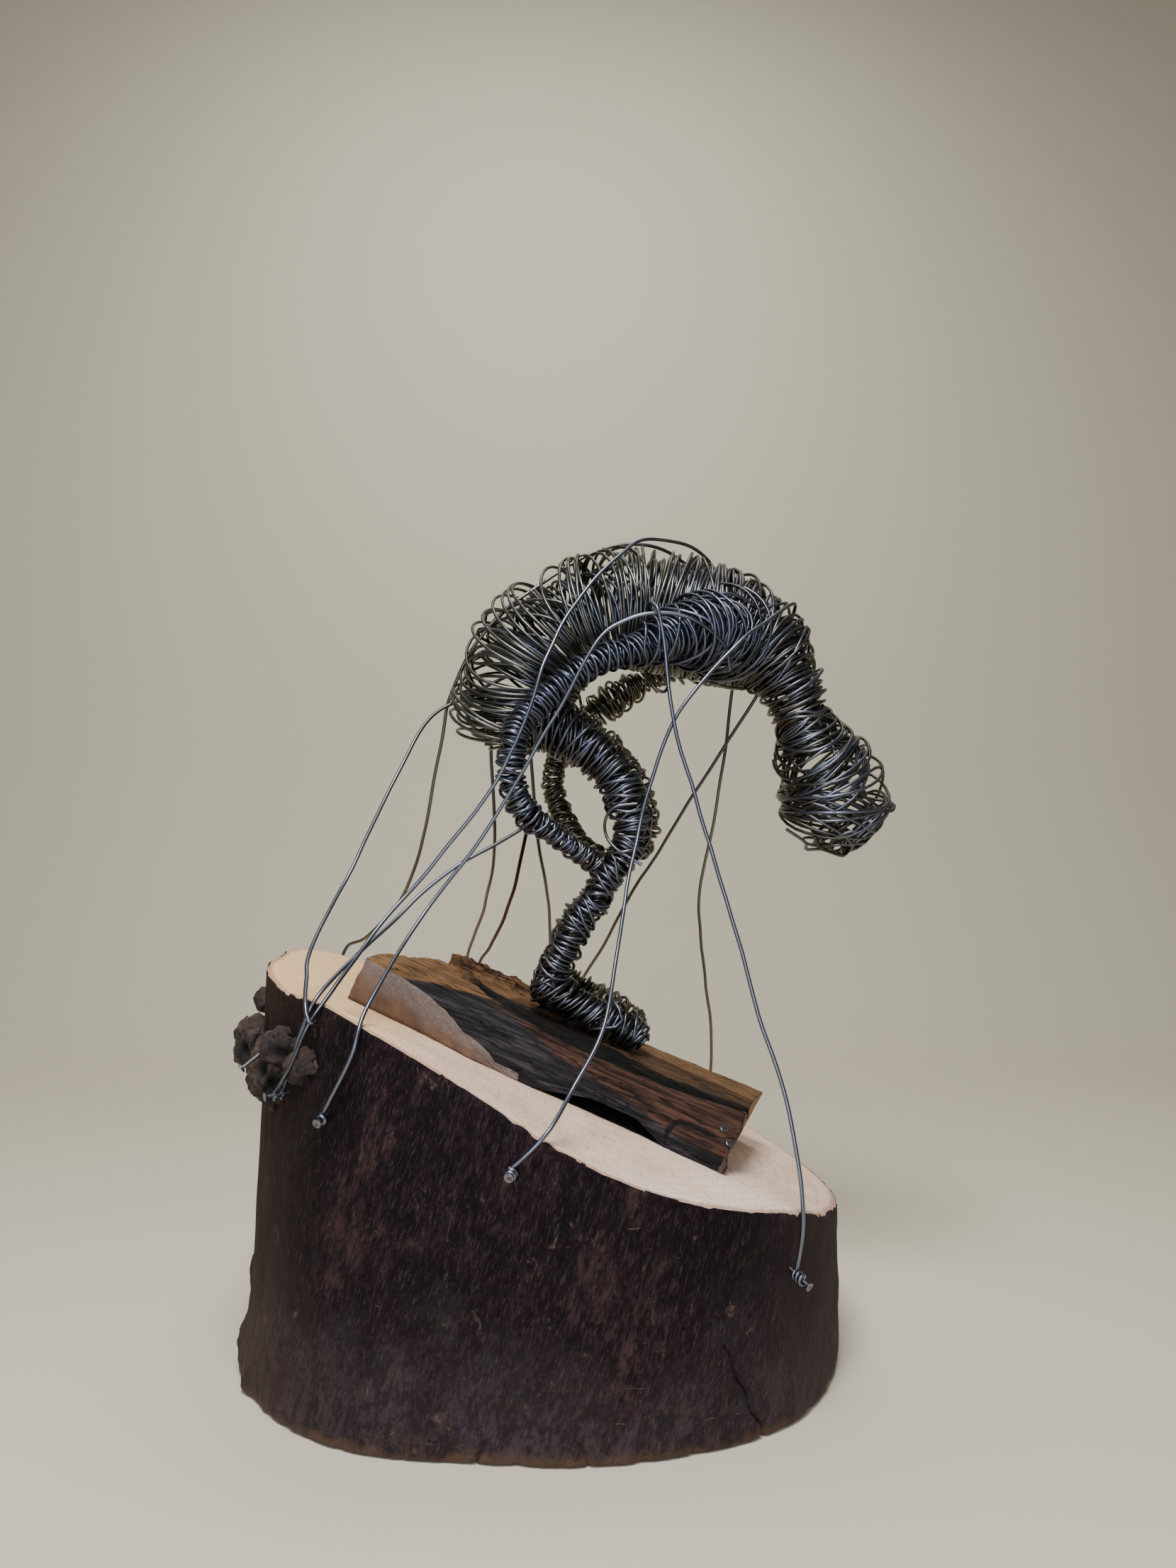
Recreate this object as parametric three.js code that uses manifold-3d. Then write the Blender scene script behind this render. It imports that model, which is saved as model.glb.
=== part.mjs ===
// A figure of wound steel wire bends over on a plank, nailed to a log that is sawn at a slant.
// Twelve stiff wires tie the figure to nails round the log. Millimetres, +Z up.
// The origin is the middle of the log's level underside. -Y is the near side, and the head is towards +X.

import * as THREE from "three";
import { mergeVertices } from "three/addons/utils/BufferGeometryUtils.js";
import Module from "manifold-3d";

const wasm = await Module();
wasm.setup();

// Driving dimensions
const GAP = 0.3; // between pieces that touch
const TETHER_DIAMETER = 2;

// The log is a squarish oval in plan. Its cut falls towards +X and rises slightly to the back.
const LOG_REACH_LEFT = 147;
const LOG_REACH_RIGHT = 161;
const LOG_HALF_DEPTH = 139;
const LOG_SQUARENESS = 2.3;
const LOG_HEIGHT = 148;
const CUT_FALL = 0.412;
const CUT_RISE = 0.045;
const ROOT_FLARE = 9;

// The plank has a round near edge and a flatter back, and stands on the cut.
const PLANK_EDGE = 4;
const PLANK_CROWN = 30;
const PLANK_ROUND = 34;
const PLANK_BACK_RISE = 3;
const GROOVE_DEPTH = 3;
const SPLINTER_HEIGHT = 9;

const NAIL_SHANK = 1.8;
const NAIL_HEAD = 4.6;
const NAIL_HEAD_THICKNESS = 1.1;
const NAIL_IN_WOOD = 16;

// The figure's windings, as the pitch and the height of the bunches of turns
const BUNCH_PITCH = 18;
const BUNCH_SWELL = 0.06;
const RING_STEP = 7;

// Stations along the figure: x, y, z, half thickness, and half width where that differs
const MIDDLE = -7;
const TORSO = [
  [-14, MIDDLE, 319, 13, 20],
  [-17.5, MIDDLE, 341, 32, 32],
  [-11, MIDDLE, 367, 33, 33],
  [8, MIDDLE, 391, 32.5, 32],
  [36, MIDDLE, 405, 35, 33],
  [65, MIDDLE, 404, 36, 36],
  [90, MIDDLE, 399, 35, 37],
  [110, MIDDLE, 392, 33, 34],
  [128, MIDDLE, 381.5, 27.5, 27],
  [138.5, MIDDLE, 368, 21.5, 21.5],
  [145, MIDDLE, 352, 18.5, 18.5],
  [149.5, MIDDLE, 337, 18, 18],
  [153, MIDDLE, 325, 18, 18],
];
const HEAD = [
  [150, MIDDLE, 337, 12],
  [155, MIDDLE, 326, 25],
  [161, MIDDLE, 313, 30],
  [165.5, MIDDLE, 299, 32],
  [167.5, MIDDLE, 285, 30],
  [170, MIDDLE, 267, 16],
];
const NEAR_UPPER_ARM = [
  [105, -22, 388, 20],
  [96, -36, 387, 23],
  [80, -45, 384, 20],
  [64, -49, 380, 15.5],
  [51, -50, 375, 11.5],
  [40, -50, 371, 8.8],
  [16, -50, 359.5, 8.2],
  [5, -50, 351, 8.2],
  [-5, -50, 341.5, 9],
  [-14, -50, 331.5, 9.2],
  [-19, -49, 322, 7.5],
];
const NEAR_FOREARM = [
  [-15, -49, 330, 8.5],
  [-18, -46, 312, 8],
  [-17, -44, 299, 7.8],
  [-9, -38, 285, 8.2],
  [3, -31, 277, 6.8],
  [16, -24, 268, 6.8],
  [28, -18, 261, 7.6],
  [38, -11, 252, 6.5],
];
const FAR_UPPER_ARM = [
  [110, 14, 391, 15],
  [96, 22, 392, 20],
  [78, 31, 382, 15],
  [60, 36, 372, 10.5],
  [43, 38, 361, 10.5],
  [32, 39, 352, 10.5],
  [21, 40, 340, 9],
  [8, 38, 322, 7.5],
];
const FAR_FOREARM = [
  [10, 39, 328, 8],
  [6, 34, 310, 7.3],
  [9, 29, 297, 7.4],
  [14, 22, 284, 7.4],
  [21, 11, 272, 7],
  [34, 0, 263, 6.6],
];
const NEAR_THIGH = [
  [-9, -18, 336, 16],
  [10, -20, 333, 16],
  [28, -22, 320, 14.5],
  [41, -23, 306, 13],
  [46, -24, 291, 12.8],
  [49, -24, 278, 12],
  [44, -24, 262, 9],
];
const NEAR_SHIN = [
  [48, -24, 273, 10],
  [43, -24, 261, 10],
  [34, -24, 250, 9],
  [28, -24, 238, 9],
  [18, -24, 226, 10],
  [12, -24, 212, 9.3],
  [6, -24, 200, 9.6],
  [4, -24, 190, 9],
];
const NEAR_FOOT = [
  [-3, -24, 194, 9],
  [9, -24, 188, 10.4],
  [21, -24, 182, 10.4],
  [32, -24, 177, 9.6],
  [43, -24, 172, 9],
  [58, -24, 164.5, 7],
];
// The far leg is the near one, set back and a step ahead.
const FAR_THIGH_SHIFT = [8, 34, 2];
const FAR_SHIN_SHIFT = [2, 34, 2];

// Each tether runs from inside the figure's windings to a nail, which its last point stops beside.
const TETHERS = {
  tether_back: {
    points: [
      [66, -18, 446],
      [56, -26, 443],
      [45, -34, 436],
      [34, -41, 427],
      [20, -46, 406],
      [10, -52, 389],
      [3.5, -57, 374],
      [-3, -62, 359],
      [-9, -64, 338],
      [-28, -67, 294],
      [-60, -68, 253],
      [-80, -78, 228],
      [-99, -107, 197],
      [-108, -115, 182],
      [-116, -110, 164],
    ],
    nail: "nail_left",
    along: 0.5,
  },
  tether_shoulder: {
    points: [
      [90, -52, 374],
      [81, -62, 385],
      [62, -64, 391],
      [40, -62, 386],
      [4, -66, 334],
      [-28, -70, 278],
      [-59, -80, 233],
      [-80, -118, 194],
      [-86, -128, 172],
    ],
    nail: "nail_left_rim",
    along: 0.55,
  },
  tether_forearm: {
    points: [
      [-6, -38, 281],
      [-25, -42, 269],
      [-46, -46, 257],
      [-70, -55, 236],
      [-88, -78, 216],
      [-104, -107, 197],
      [-111, -109, 182],
      [-116, -103, 166],
    ],
    nail: "nail_left",
    along: 0.22,
  },
  tether_hip_front: {
    points: [
      [-44, -8, 353],
      [-64, -12, 339],
      [-81, -25, 304],
      [-103, -46, 250],
      [-113, -84, 216],
      [-113, -100, 202],
      [-115, -108, 192],
    ],
  },
  tether_hip_back: {
    points: [
      [-42, 5, 341],
      [-60, 12, 316],
      [-68, 26, 279],
      [-82, 46, 241],
      [-106, 70, 215],
      [-121, 91, 207],
      [-127, 101, 192],
    ],
    nail: "nail_back_left",
    along: 0.5,
  },
  tether_seat: {
    points: [
      [-30, 5, 325],
      [-28, 22, 290],
      [-28, 40, 266],
      [-34, 66, 234],
      [-45, 110, 202],
      [-50, 140, 172],
    ],
    nail: "nail_back_inner",
    along: 0.75,
  },
  tether_elbow: {
    points: [
      [-8, -34, 281],
      [-13, -10, 258],
      [-20, 30, 231],
      [-30, 68, 210],
      [-38, 110, 196],
      [-44, 140, 172],
    ],
    nail: "nail_back_inner",
    along: 0.3,
  },
  tether_thigh: {
    points: [
      [-7, 5, 318],
      [-3, 24, 280],
      [4, 50, 245],
      [7, 68, 227],
      [8, 110, 190],
      [9, 145, 152],
    ],
    nail: "nail_back_middle",
    along: 0.75,
  },
  tether_neck: {
    points: [
      [126, -6, 364],
      [109, 10, 334],
      [66, 52, 259],
      [39, 84, 205],
      [22, 122, 172],
      [13, 147, 148],
    ],
    nail: "nail_back_middle",
    along: 0.4,
  },
  tether_chest: {
    points: [
      [110, 4, 368],
      [109, 22, 335],
      [106, 36, 300],
      [99, 54, 245],
      [101, 66, 215],
      [112, 94, 151],
      [114, 113, 110],
    ],
    nail: "nail_back_right",
    along: 0.5,
  },
  tether_throat: {
    points: [
      [141, -8, 394],
      [140, -24, 404],
      [130, -38, 400],
      [116, -53, 388],
      [101, -64, 376],
      [76, -65, 349],
      [61, -64, 324],
      [48, -72, 278],
      [35, -94, 219],
      [28, -109, 183],
      [13, -124, 157],
      [1, -141, 141],
    ],
    nail: "nail_front",
    along: 0.5,
  },
  tether_arm: {
    points: [
      [54, -50, 386],
      [53, -58, 396],
      [54, -67, 397],
      [57, -71, 383],
      [67, -71, 324],
      [85, -82, 259],
      [102, -95, 193],
      [115, -106, 145],
      [120, -113, 100],
    ],
    nail: "nail_right",
    along: 0.35,
  },
};

// Each nail enters the wood at a point, and sticks out of it by a length in a direction.
const NAILS = {
  nail_free: { entry: [-133, -84, 168], out: [-0.72, -0.35, -0.6], length: 14 },
  nail_left: { entry: [-120, -89, 149], out: [-0.85, -0.5, -0.1], length: 12 },
  nail_left_rim: { entry: [-97, -111, 144], out: [-0.4, -0.85, -0.3], length: 11 },
  nail_front: { entry: [-12, -137, 126], out: [-0.3, -0.9, -0.25], length: 11 },
  nail_right: { entry: [115, -104, 72], out: [0.5, -0.75, -0.4], length: 15 },
  nail_back_left: { entry: [-119, 92, 178], out: [-0.6, 0.8, 0], length: 11 },
  nail_back_inner: { entry: [-48, 131, 155], out: [-0.1, 1, 0], length: 12 },
  nail_back_middle: { entry: [10, 138, 130], out: [0, 1, 0], length: 12 },
  nail_back_right: { entry: [113, 106, 88], out: [0.5, 0.86, 0], length: 11 },
};
// Two nails through the plank's round near edge, by their places in plan
const PLANK_NAILS = {
  plank_nail_1: [91, -72],
  plank_nail_2: [93, -76.5],
};
const PLANK_NAIL_OUT = [0.28, -0.68, 0.69];

// Burls: centre and half sizes
const BURLS = [
  [-143, -44, 186, 6, 7, 8],
  [-146, -56, 169, 10, 9, 11],
  [-131, -76, 157, 12, 13, 16],
  [-107, -103, 163, 8, 6, 10],
];

// Materials
const steel = new THREE.MeshStandardMaterial({ color: 0x5c6068, metalness: 0.9, roughness: 0.42 });
const tetherSteel = new THREE.MeshStandardMaterial({ color: 0x7c818c, metalness: 0.9, roughness: 0.38 });
const nailSteel = new THREE.MeshStandardMaterial({ color: 0x777a80, metalness: 0.9, roughness: 0.45 });
const barkWood = new THREE.MeshStandardMaterial({ color: 0x4a3a37, roughness: 0.85 });
const plankWood = new THREE.MeshStandardMaterial({ color: 0x6a5140, roughness: 0.8 });

// Joining and placing

function withoutCollapsed(index) {
  const kept = [];
  for (let i = 0; i < index.length; i += 3) {
    const [a, b, c] = [index[i], index[i + 1], index[i + 2]];
    if (a !== b && b !== c && c !== a) kept.push(a, b, c);
  }
  return kept;
}

// A closed three.js geometry as a solid whose faces point out.
function solidOf(geometry) {
  const bare = new THREE.BufferGeometry();
  bare.setAttribute("position", geometry.getAttribute("position"));
  bare.setIndex(geometry.index);
  const merged = mergeVertices(bare, 1e-3);
  const vertProperties = new Float32Array(merged.attributes.position.array);
  const triangles = withoutCollapsed(merged.index.array);
  const make = (list) =>
    new wasm.Manifold(new wasm.Mesh({ numProp: 3, vertProperties, triVerts: new Uint32Array(list) }));
  const solid = make(triangles);
  return solid.volume() > 0 ? solid : make(triangles.reverse());
}

function geometryOf(solid) {
  const { numProp, vertProperties, triVerts } = solid.getMesh();
  const geometry = new THREE.BufferGeometry();
  const positions = new Float32Array((vertProperties.length / numProp) * 3);
  for (let i = 0; i < positions.length / 3; i += 1) {
    positions.set(vertProperties.subarray(i * numProp, i * numProp + 3), i * 3);
  }
  geometry.setAttribute("position", new THREE.BufferAttribute(positions, 3));
  geometry.setIndex(new THREE.BufferAttribute(new Uint32Array(triVerts), 1));
  geometry.computeVertexNormals();
  return geometry;
}

// Moves each vertex of a geometry to the place that the given function works out.
function reshape(geometry, place) {
  const position = geometry.getAttribute("position");
  const point = new THREE.Vector3();
  for (let i = 0; i < position.count; i += 1) {
    point.fromBufferAttribute(position, i);
    position.setXYZ(i, ...place(point.x, point.y, point.z));
  }
  return geometry;
}

function smoothStep(from, to, value) {
  return THREE.MathUtils.smoothstep(value, from, to);
}

// The log

// Height of the slanted cut. Its near rim waves a little, where the saw wandered.
function flatCut(x, y) {
  return LOG_HEIGHT - CUT_FALL * x + CUT_RISE * y;
}

function cutHeight(x, y) {
  const nearness = smoothStep(62, 115, -y);
  return flatCut(x, y) - 8 * nearness * Math.sin((2 * Math.PI * (x + 25)) / 260);
}

// Distance of the log's side from its axis, at an angle round it and a height.
function logReach(angle, height) {
  const side = Math.cos(angle) < 0 ? LOG_REACH_LEFT : LOG_REACH_RIGHT;
  const across = Math.abs(Math.cos(angle) / side) ** LOG_SQUARENESS;
  const deep = Math.abs(Math.sin(angle) / LOG_HALF_DEPTH) ** LOG_SQUARENESS;
  const flutes = 1.6 * Math.sin(5 * angle + 1) + 1.1 * Math.sin(9 * angle + 2);
  const left = Math.max(0, -Math.cos(angle + 0.2)) ** 4;
  const flare = ROOT_FLARE * left * Math.exp(-height / 28);
  return (across + deep) ** (-1 / LOG_SQUARENESS) + flutes + flare;
}

function makeLog() {
  const profile = [
    [0, 0],
    [0.6, 0],
    [0.985, 0],
    [1, 0.05],
    [1, 0.15],
    [1, 0.3],
    [1, 0.6],
    [1, 0.97],
    [0.99, 1],
    [0.84, 1],
    [0.66, 1],
    [0.46, 1],
    [0, 1],
  ];
  const round = new THREE.LatheGeometry(
    profile.map(([reach, rise]) => new THREE.Vector2(reach, rise)),
    40,
  );
  return solidOf(
    reshape(round, (x, rise, z) => {
      const angle = Math.atan2(z, x);
      const reach = Math.hypot(x, z) * logReach(angle, rise * LOG_HEIGHT);
      const [across, deep] = [reach * Math.cos(angle), reach * Math.sin(angle)];
      return [across, deep, rise * cutHeight(across, deep)];
    }),
  );
}

function makeBurl([x, y, z, halfX, halfY, halfZ]) {
  const ball = new THREE.SphereGeometry(1, 9, 6);
  return solidOf(
    reshape(ball, (u, v, w) => {
      const lump = 1 + 0.12 * Math.sin(3 * u + 5 * v) + 0.1 * Math.cos(4 * w - 2 * v);
      return [x + halfX * u * lump, y + halfY * w * lump, z + halfZ * v * lump];
    }),
  );
}

// The plank

// Its near side in plan: a sawn stretch on the left, then its natural round edge.
const PLANK_NEAR = [
  [-101, -40],
  [-73, -43],
  [-58, -47],
  [-39, -57],
  [-13, -65],
  [97, -80.5],
];
const PLANK_FAR = [
  [-64, 8],
  [131, 24],
];

// The point at a share of the way along X of a run of corners.
function alongRun(corners, share) {
  const x = THREE.MathUtils.lerp(corners[0][0], corners[corners.length - 1][0], share);
  const next = Math.max(1, corners.findIndex((corner) => corner[0] >= x - 1e-6));
  const [from, to] = [corners[next - 1], corners[next]];
  return [x, THREE.MathUtils.mapLinear(x, from[0], to[0], from[1], to[1])];
}

// Height of the plank's top over the cut, by the distance from its natural near edge.
function plankHeight(x, y) {
  const naturalEdge = THREE.MathUtils.mapLinear(x, -13, 97, -65, -80.5);
  const inward = Math.max(0, y - naturalEdge);
  const round = Math.sqrt(1 - (1 - Math.min(inward / PLANK_ROUND, 1)) ** 2);
  const back = PLANK_BACK_RISE * smoothStep(34, 64, inward);
  const groove = GROOVE_DEPTH * Math.exp(-(((inward - 29) / 5) ** 2)) * smoothStep(-60, -20, x);
  const splinter = SPLINTER_HEIGHT * Math.exp(-(((y - 12) / 7) ** 2) - ((x + 24) / 22) ** 2);
  return PLANK_EDGE + (PLANK_CROWN - PLANK_EDGE) * round + back - groove + splinter;
}

// The plank, made larger all over by a clearance where a neighbour is cut to fit it.
function makePlank(clearance) {
  const block = new THREE.BoxGeometry(1, 1, 1, 14, 10, 1);
  return solidOf(
    reshape(block, (u, v, w) => {
      const near = alongRun(PLANK_NEAR, u + 0.5);
      const far = alongRun(PLANK_FAR, u + 0.5);
      const x = THREE.MathUtils.lerp(near[0], far[0], v + 0.5);
      const y = THREE.MathUtils.lerp(near[1], far[1], v + 0.5);
      const rise = w > 0 ? plankHeight(x, y) + clearance : GAP - clearance;
      // The left end leans in at the top, and the right end is cut back below.
      const leftLean = w > 0 ? 9 * smoothStep(0.2, 0, u + 0.5) : 0;
      const rightLean = w > 0 ? 0 : -9 * smoothStep(0.9, 1, u + 0.5);
      const leaning = x + leftLean + rightLean;
      return [leaning, y, flatCut(leaning, y) + rise];
    }),
  );
}

// Nails

function nailAxis({ entry, out }) {
  return { start: new THREE.Vector3(...entry), way: new THREE.Vector3(...out).normalize() };
}

// A rod between two points, as wide as the given diameter.
function rod(from, to, diameter, sides) {
  const cylinder = new THREE.CylinderGeometry(diameter / 2, diameter / 2, from.distanceTo(to), sides);
  const turn = new THREE.Quaternion().setFromUnitVectors(
    new THREE.Vector3(0, 1, 0),
    to.clone().sub(from).normalize(),
  );
  cylinder.applyQuaternion(turn);
  cylinder.translate(...from.clone().add(to).multiplyScalar(0.5).toArray());
  return solidOf(cylinder);
}

function makeNail(nail, clearance) {
  const { start, way } = nailAxis(nail);
  const at = (distance) => start.clone().addScaledVector(way, distance);
  const shank = rod(at(-NAIL_IN_WOOD - clearance), at(nail.length), NAIL_SHANK + 2 * clearance, 6);
  const head = rod(
    at(nail.length - NAIL_HEAD_THICKNESS - clearance),
    at(nail.length + clearance),
    NAIL_HEAD + 2 * clearance,
    8,
  );
  return shank.add(head);
}

// A plank nail is driven square to the wood until its head is seated.
function plankNail([x, y]) {
  const entry = [x, y, flatCut(x, y) + plankHeight(x, y)];
  return { entry, out: PLANK_NAIL_OUT, length: NAIL_HEAD_THICKNESS };
}

// The figure

// A round body of turns of wire along the stations, swollen where the turns bunch.
function wound(stations, sides, clearance = 0) {
  const path = new THREE.CatmullRomCurve3(
    stations.map(([x, y, z]) => new THREE.Vector3(x, y, z)),
    false,
    "catmullrom",
  );
  const girth = new THREE.CatmullRomCurve3(
    stations.map(([, , , half, halfWidth = half]) => new THREE.Vector3(half, halfWidth, 0)),
    false,
    "catmullrom",
  );
  const length = path.getLength();
  const body = new THREE.SphereGeometry(1, sides, Math.round(length / RING_STEP) + 4);
  const sideways = new THREE.Vector3(0, 1, 0);
  return solidOf(
    reshape(body, (x, y, z) => {
      const share = Math.acos(THREE.MathUtils.clamp(y, -1, 1)) / Math.PI;
      const angle = Math.atan2(z, x);
      const size = girth.getPoint(share);
      const toEnd = Math.min(share, 1 - share) * length;
      const dome = Math.sqrt(1 - (1 - Math.min(toEnd / (0.7 * size.x), 1)) ** 2);
      const bunch = 1 + BUNCH_SWELL * Math.cos((2 * Math.PI * share * length) / BUNCH_PITCH + angle);
      const tangent = path.getTangent(share);
      const across = sideways.clone().addScaledVector(tangent, -tangent.y).normalize();
      const outward = new THREE.Vector3().crossVectors(tangent, across);
      const point = path.getPoint(share);
      point.addScaledVector(outward, (size.x * bunch + clearance) * dome * Math.cos(angle));
      point.addScaledVector(across, (size.y * bunch + clearance) * dome * Math.sin(angle));
      return point.toArray();
    }),
  );
}

function shifted(stations, [dx, dy, dz]) {
  return stations.map(([x, y, z, ...sizes]) => [x + dx, y + dy, z + dz, ...sizes]);
}

function makeFigure(clearance) {
  const [ahead, back, lift] = FAR_SHIN_SHIFT;
  const onSlope = [ahead, back, -CUT_FALL * ahead + CUT_RISE * back + lift];
  const limbs = [
    [HEAD, 12],
    [NEAR_UPPER_ARM, 10],
    [NEAR_FOREARM, 8],
    [FAR_UPPER_ARM, 10],
    [FAR_FOREARM, 8],
    [NEAR_THIGH, 9],
    [NEAR_SHIN, 8],
    [NEAR_FOOT, 9],
    [shifted(NEAR_THIGH, FAR_THIGH_SHIFT), 9],
    [shifted(NEAR_SHIN, FAR_SHIN_SHIFT), 8],
    [shifted(NEAR_FOOT, onSlope), 9],
  ];
  return limbs.reduce(
    (whole, [stations, sides]) => whole.add(wound(stations, sides, clearance)),
    wound(TORSO, 13, clearance),
  );
}

// Tethers

function wire(points, diameter) {
  const path = new THREE.CatmullRomCurve3(points.map((point) => new THREE.Vector3(...point)));
  const section = new THREE.Shape().absarc(0, 0, diameter / 2, 0, 2 * Math.PI);
  return solidOf(
    new THREE.ExtrudeGeometry(section, {
      steps: Math.round(1.6 * points.length),
      curveSegments: 3,
      extrudePath: path,
      bevelEnabled: false,
    }),
  );
}

// A point on top of a nail's shank, at a share of the length that sticks out.
function hookOn(nail, share) {
  const { start, way } = nailAxis(nail);
  const point = start.addScaledVector(way, nail.length * share);
  point.z += (NAIL_SHANK + TETHER_DIAMETER) / 2 + GAP;
  return point.toArray();
}

function makeTether({ points, nail, along }, figureRoom) {
  const route = nail ? [...points, hookOn(NAILS[nail], along)] : points;
  return wire(route, TETHER_DIAMETER).subtract(figureRoom);
}

// The whole sculpture

const sculpture = new THREE.Group();

function place(name, solid, material) {
  const mesh = new THREE.Mesh(geometryOf(solid), material);
  mesh.name = name;
  sculpture.add(mesh);
}

const plankNails = Object.fromEntries(
  Object.entries(PLANK_NAILS).map(([name, spot]) => [name, plankNail(spot)]),
);
const allNails = { ...NAILS, ...plankNails };

let log = BURLS.reduce((whole, burl) => whole.add(makeBurl(burl)), makeLog());
let plank = makePlank(0);
for (const nail of Object.values(allNails)) log = log.subtract(makeNail(nail, GAP));
for (const nail of Object.values(plankNails)) plank = plank.subtract(makeNail(nail, GAP));

place("log", log, barkWood);
place("plank", plank, plankWood);
place("wire_figure", makeFigure(0).subtract(makePlank(GAP)), steel);
const figureRoom = makeFigure(GAP);
for (const [name, tether] of Object.entries(TETHERS)) {
  place(name, makeTether(tether, figureRoom), tetherSteel);
}
for (const [name, nail] of Object.entries(allNails)) {
  place(name, makeNail(nail, 0), nailSteel);
}

export default sculpture;
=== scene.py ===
"""A wire figure bent over a split plank on a slant-cut log: finished surfaces for the solids.

Lengths in the tables are millimetres and are turned into metres as each piece is made.
"""

import math

import bmesh
import bpy
import numpy as np
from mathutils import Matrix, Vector, noise


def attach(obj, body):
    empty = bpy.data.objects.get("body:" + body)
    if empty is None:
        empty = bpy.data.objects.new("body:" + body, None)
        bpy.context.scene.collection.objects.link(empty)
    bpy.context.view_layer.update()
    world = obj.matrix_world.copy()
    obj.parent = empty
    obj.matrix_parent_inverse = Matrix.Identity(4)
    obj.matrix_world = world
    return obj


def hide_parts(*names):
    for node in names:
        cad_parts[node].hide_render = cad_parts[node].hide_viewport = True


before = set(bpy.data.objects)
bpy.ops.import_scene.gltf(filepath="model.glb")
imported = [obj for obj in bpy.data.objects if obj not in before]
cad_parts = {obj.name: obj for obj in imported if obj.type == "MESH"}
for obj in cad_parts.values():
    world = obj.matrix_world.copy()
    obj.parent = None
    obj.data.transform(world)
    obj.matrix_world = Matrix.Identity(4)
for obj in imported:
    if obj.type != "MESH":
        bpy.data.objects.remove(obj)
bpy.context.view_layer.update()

MM = 0.001

# Shapes shared with the solids

WIRE = 1.8
TETHER_WIRE = 2.0
LOG_REACH_LEFT = 147
LOG_REACH_RIGHT = 161
LOG_HALF_DEPTH = 139
LOG_MEAN_REACH = 145
LOG_SQUARENESS = 2.3
LOG_HEIGHT = 148
CUT_FALL = 0.412
CUT_RISE = 0.045
NAIL_SHANK = 1.8
NAIL_HEAD = 4.6
NAIL_HEAD_THICKNESS = 1.1
NAIL_IN_WOOD = 16
GAP = 0.3

# Where the windings run: x, y, z, half thickness, and half width where that differs
TORSO = [
    (-14, -7, 319, 13, 20), (-17.5, -7, 341, 32, 32), (-11, -7, 367, 33, 33),
    (8, -7, 391, 32.5, 32), (36, -7, 405, 35, 33), (65, -7, 404, 36, 36), (90, -7, 399, 35, 37),
    (110, -7, 392, 33, 34), (128, -7, 381.5, 27.5, 27), (138.5, -7, 368, 21.5, 21.5),
    (145, -7, 352, 18.5, 18.5), (149.5, -7, 337, 18, 18), (153, -7, 325, 18, 18),
]
HEAD = [
    (146, -7, 345, 16.5), (150.5, -7, 336, 20.5), (155, -7, 324.5, 26), (161, -7, 313, 30),
    (165.5, -7, 299, 32), (167.5, -7, 285, 30), (170, -7, 267, 16),
]
NEAR_UPPER_ARM = [
    (103, -4, 388, 22), (101, -22, 388, 24.5), (94, -37, 387, 24), (80, -45, 384, 20),
    (64, -49, 380, 15.5), (51, -50, 375, 11.5), (40, -50, 371, 8.6), (28, -50, 367, 7.7),
    (16, -50, 359.5, 7.8), (5, -50, 351, 7.8), (-5, -50, 341.5, 8.6), (-14, -50, 331.5, 9),
    (-19, -49, 322, 8),
]
NEAR_FOREARM = [
    (-15, -49, 332, 8.5), (-18, -46, 312, 8), (-17, -44, 299, 7.8), (-9, -38, 285, 8.2),
    (3, -31, 277, 6.8), (16, -24, 268, 6.8), (28, -18, 261, 7.6), (38, -11, 252, 6.5),
]
FAR_UPPER_ARM = [
    (112, 2, 391, 20), (107, 15, 392, 22), (93, 23, 391, 20), (78, 31, 382, 15),
    (62, 36, 373, 10.5), (53, 38, 367, 10), (43, 38, 360.5, 11), (32, 39, 352, 11),
    (21, 40, 340, 9.5), (8, 38, 322, 8),
]
FAR_FOREARM = [
    (11, 39, 329, 8), (6, 34, 310, 7.3), (9, 29, 297, 7.4), (14, 22, 284, 7.4), (21, 11, 272, 7),
    (34, 0, 263, 6.6),
]
NEAR_THIGH = [
    (-12, -16, 338, 16), (10, -20, 333, 16), (28, -22, 320, 14.5), (41, -23, 306, 13),
    (46, -24, 291, 12.8), (49, -24, 278, 12), (44, -24, 261, 9.5),
]
NEAR_SHIN = [
    (48, -24, 274, 10), (43, -24, 261, 10), (34, -24, 250, 9), (28, -24, 238, 9),
    (18, -24, 226, 10), (12, -24, 212, 9.3), (6, -24, 200, 9.6), (3, -24, 187, 9.5),
]
NEAR_FOOT = [
    (-5, -24, 196, 9.9), (9, -24, 188.5, 11.9), (21, -24, 182.5, 11.9), (32, -24, 177, 11),
    (43, -24, 172, 10.3), (58, -24, 165, 8.2),
]
FAR_THIGH_SHIFT = (8, 34, 2)
FAR_SHIN_SHIFT = (2, 34, 2)

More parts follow.
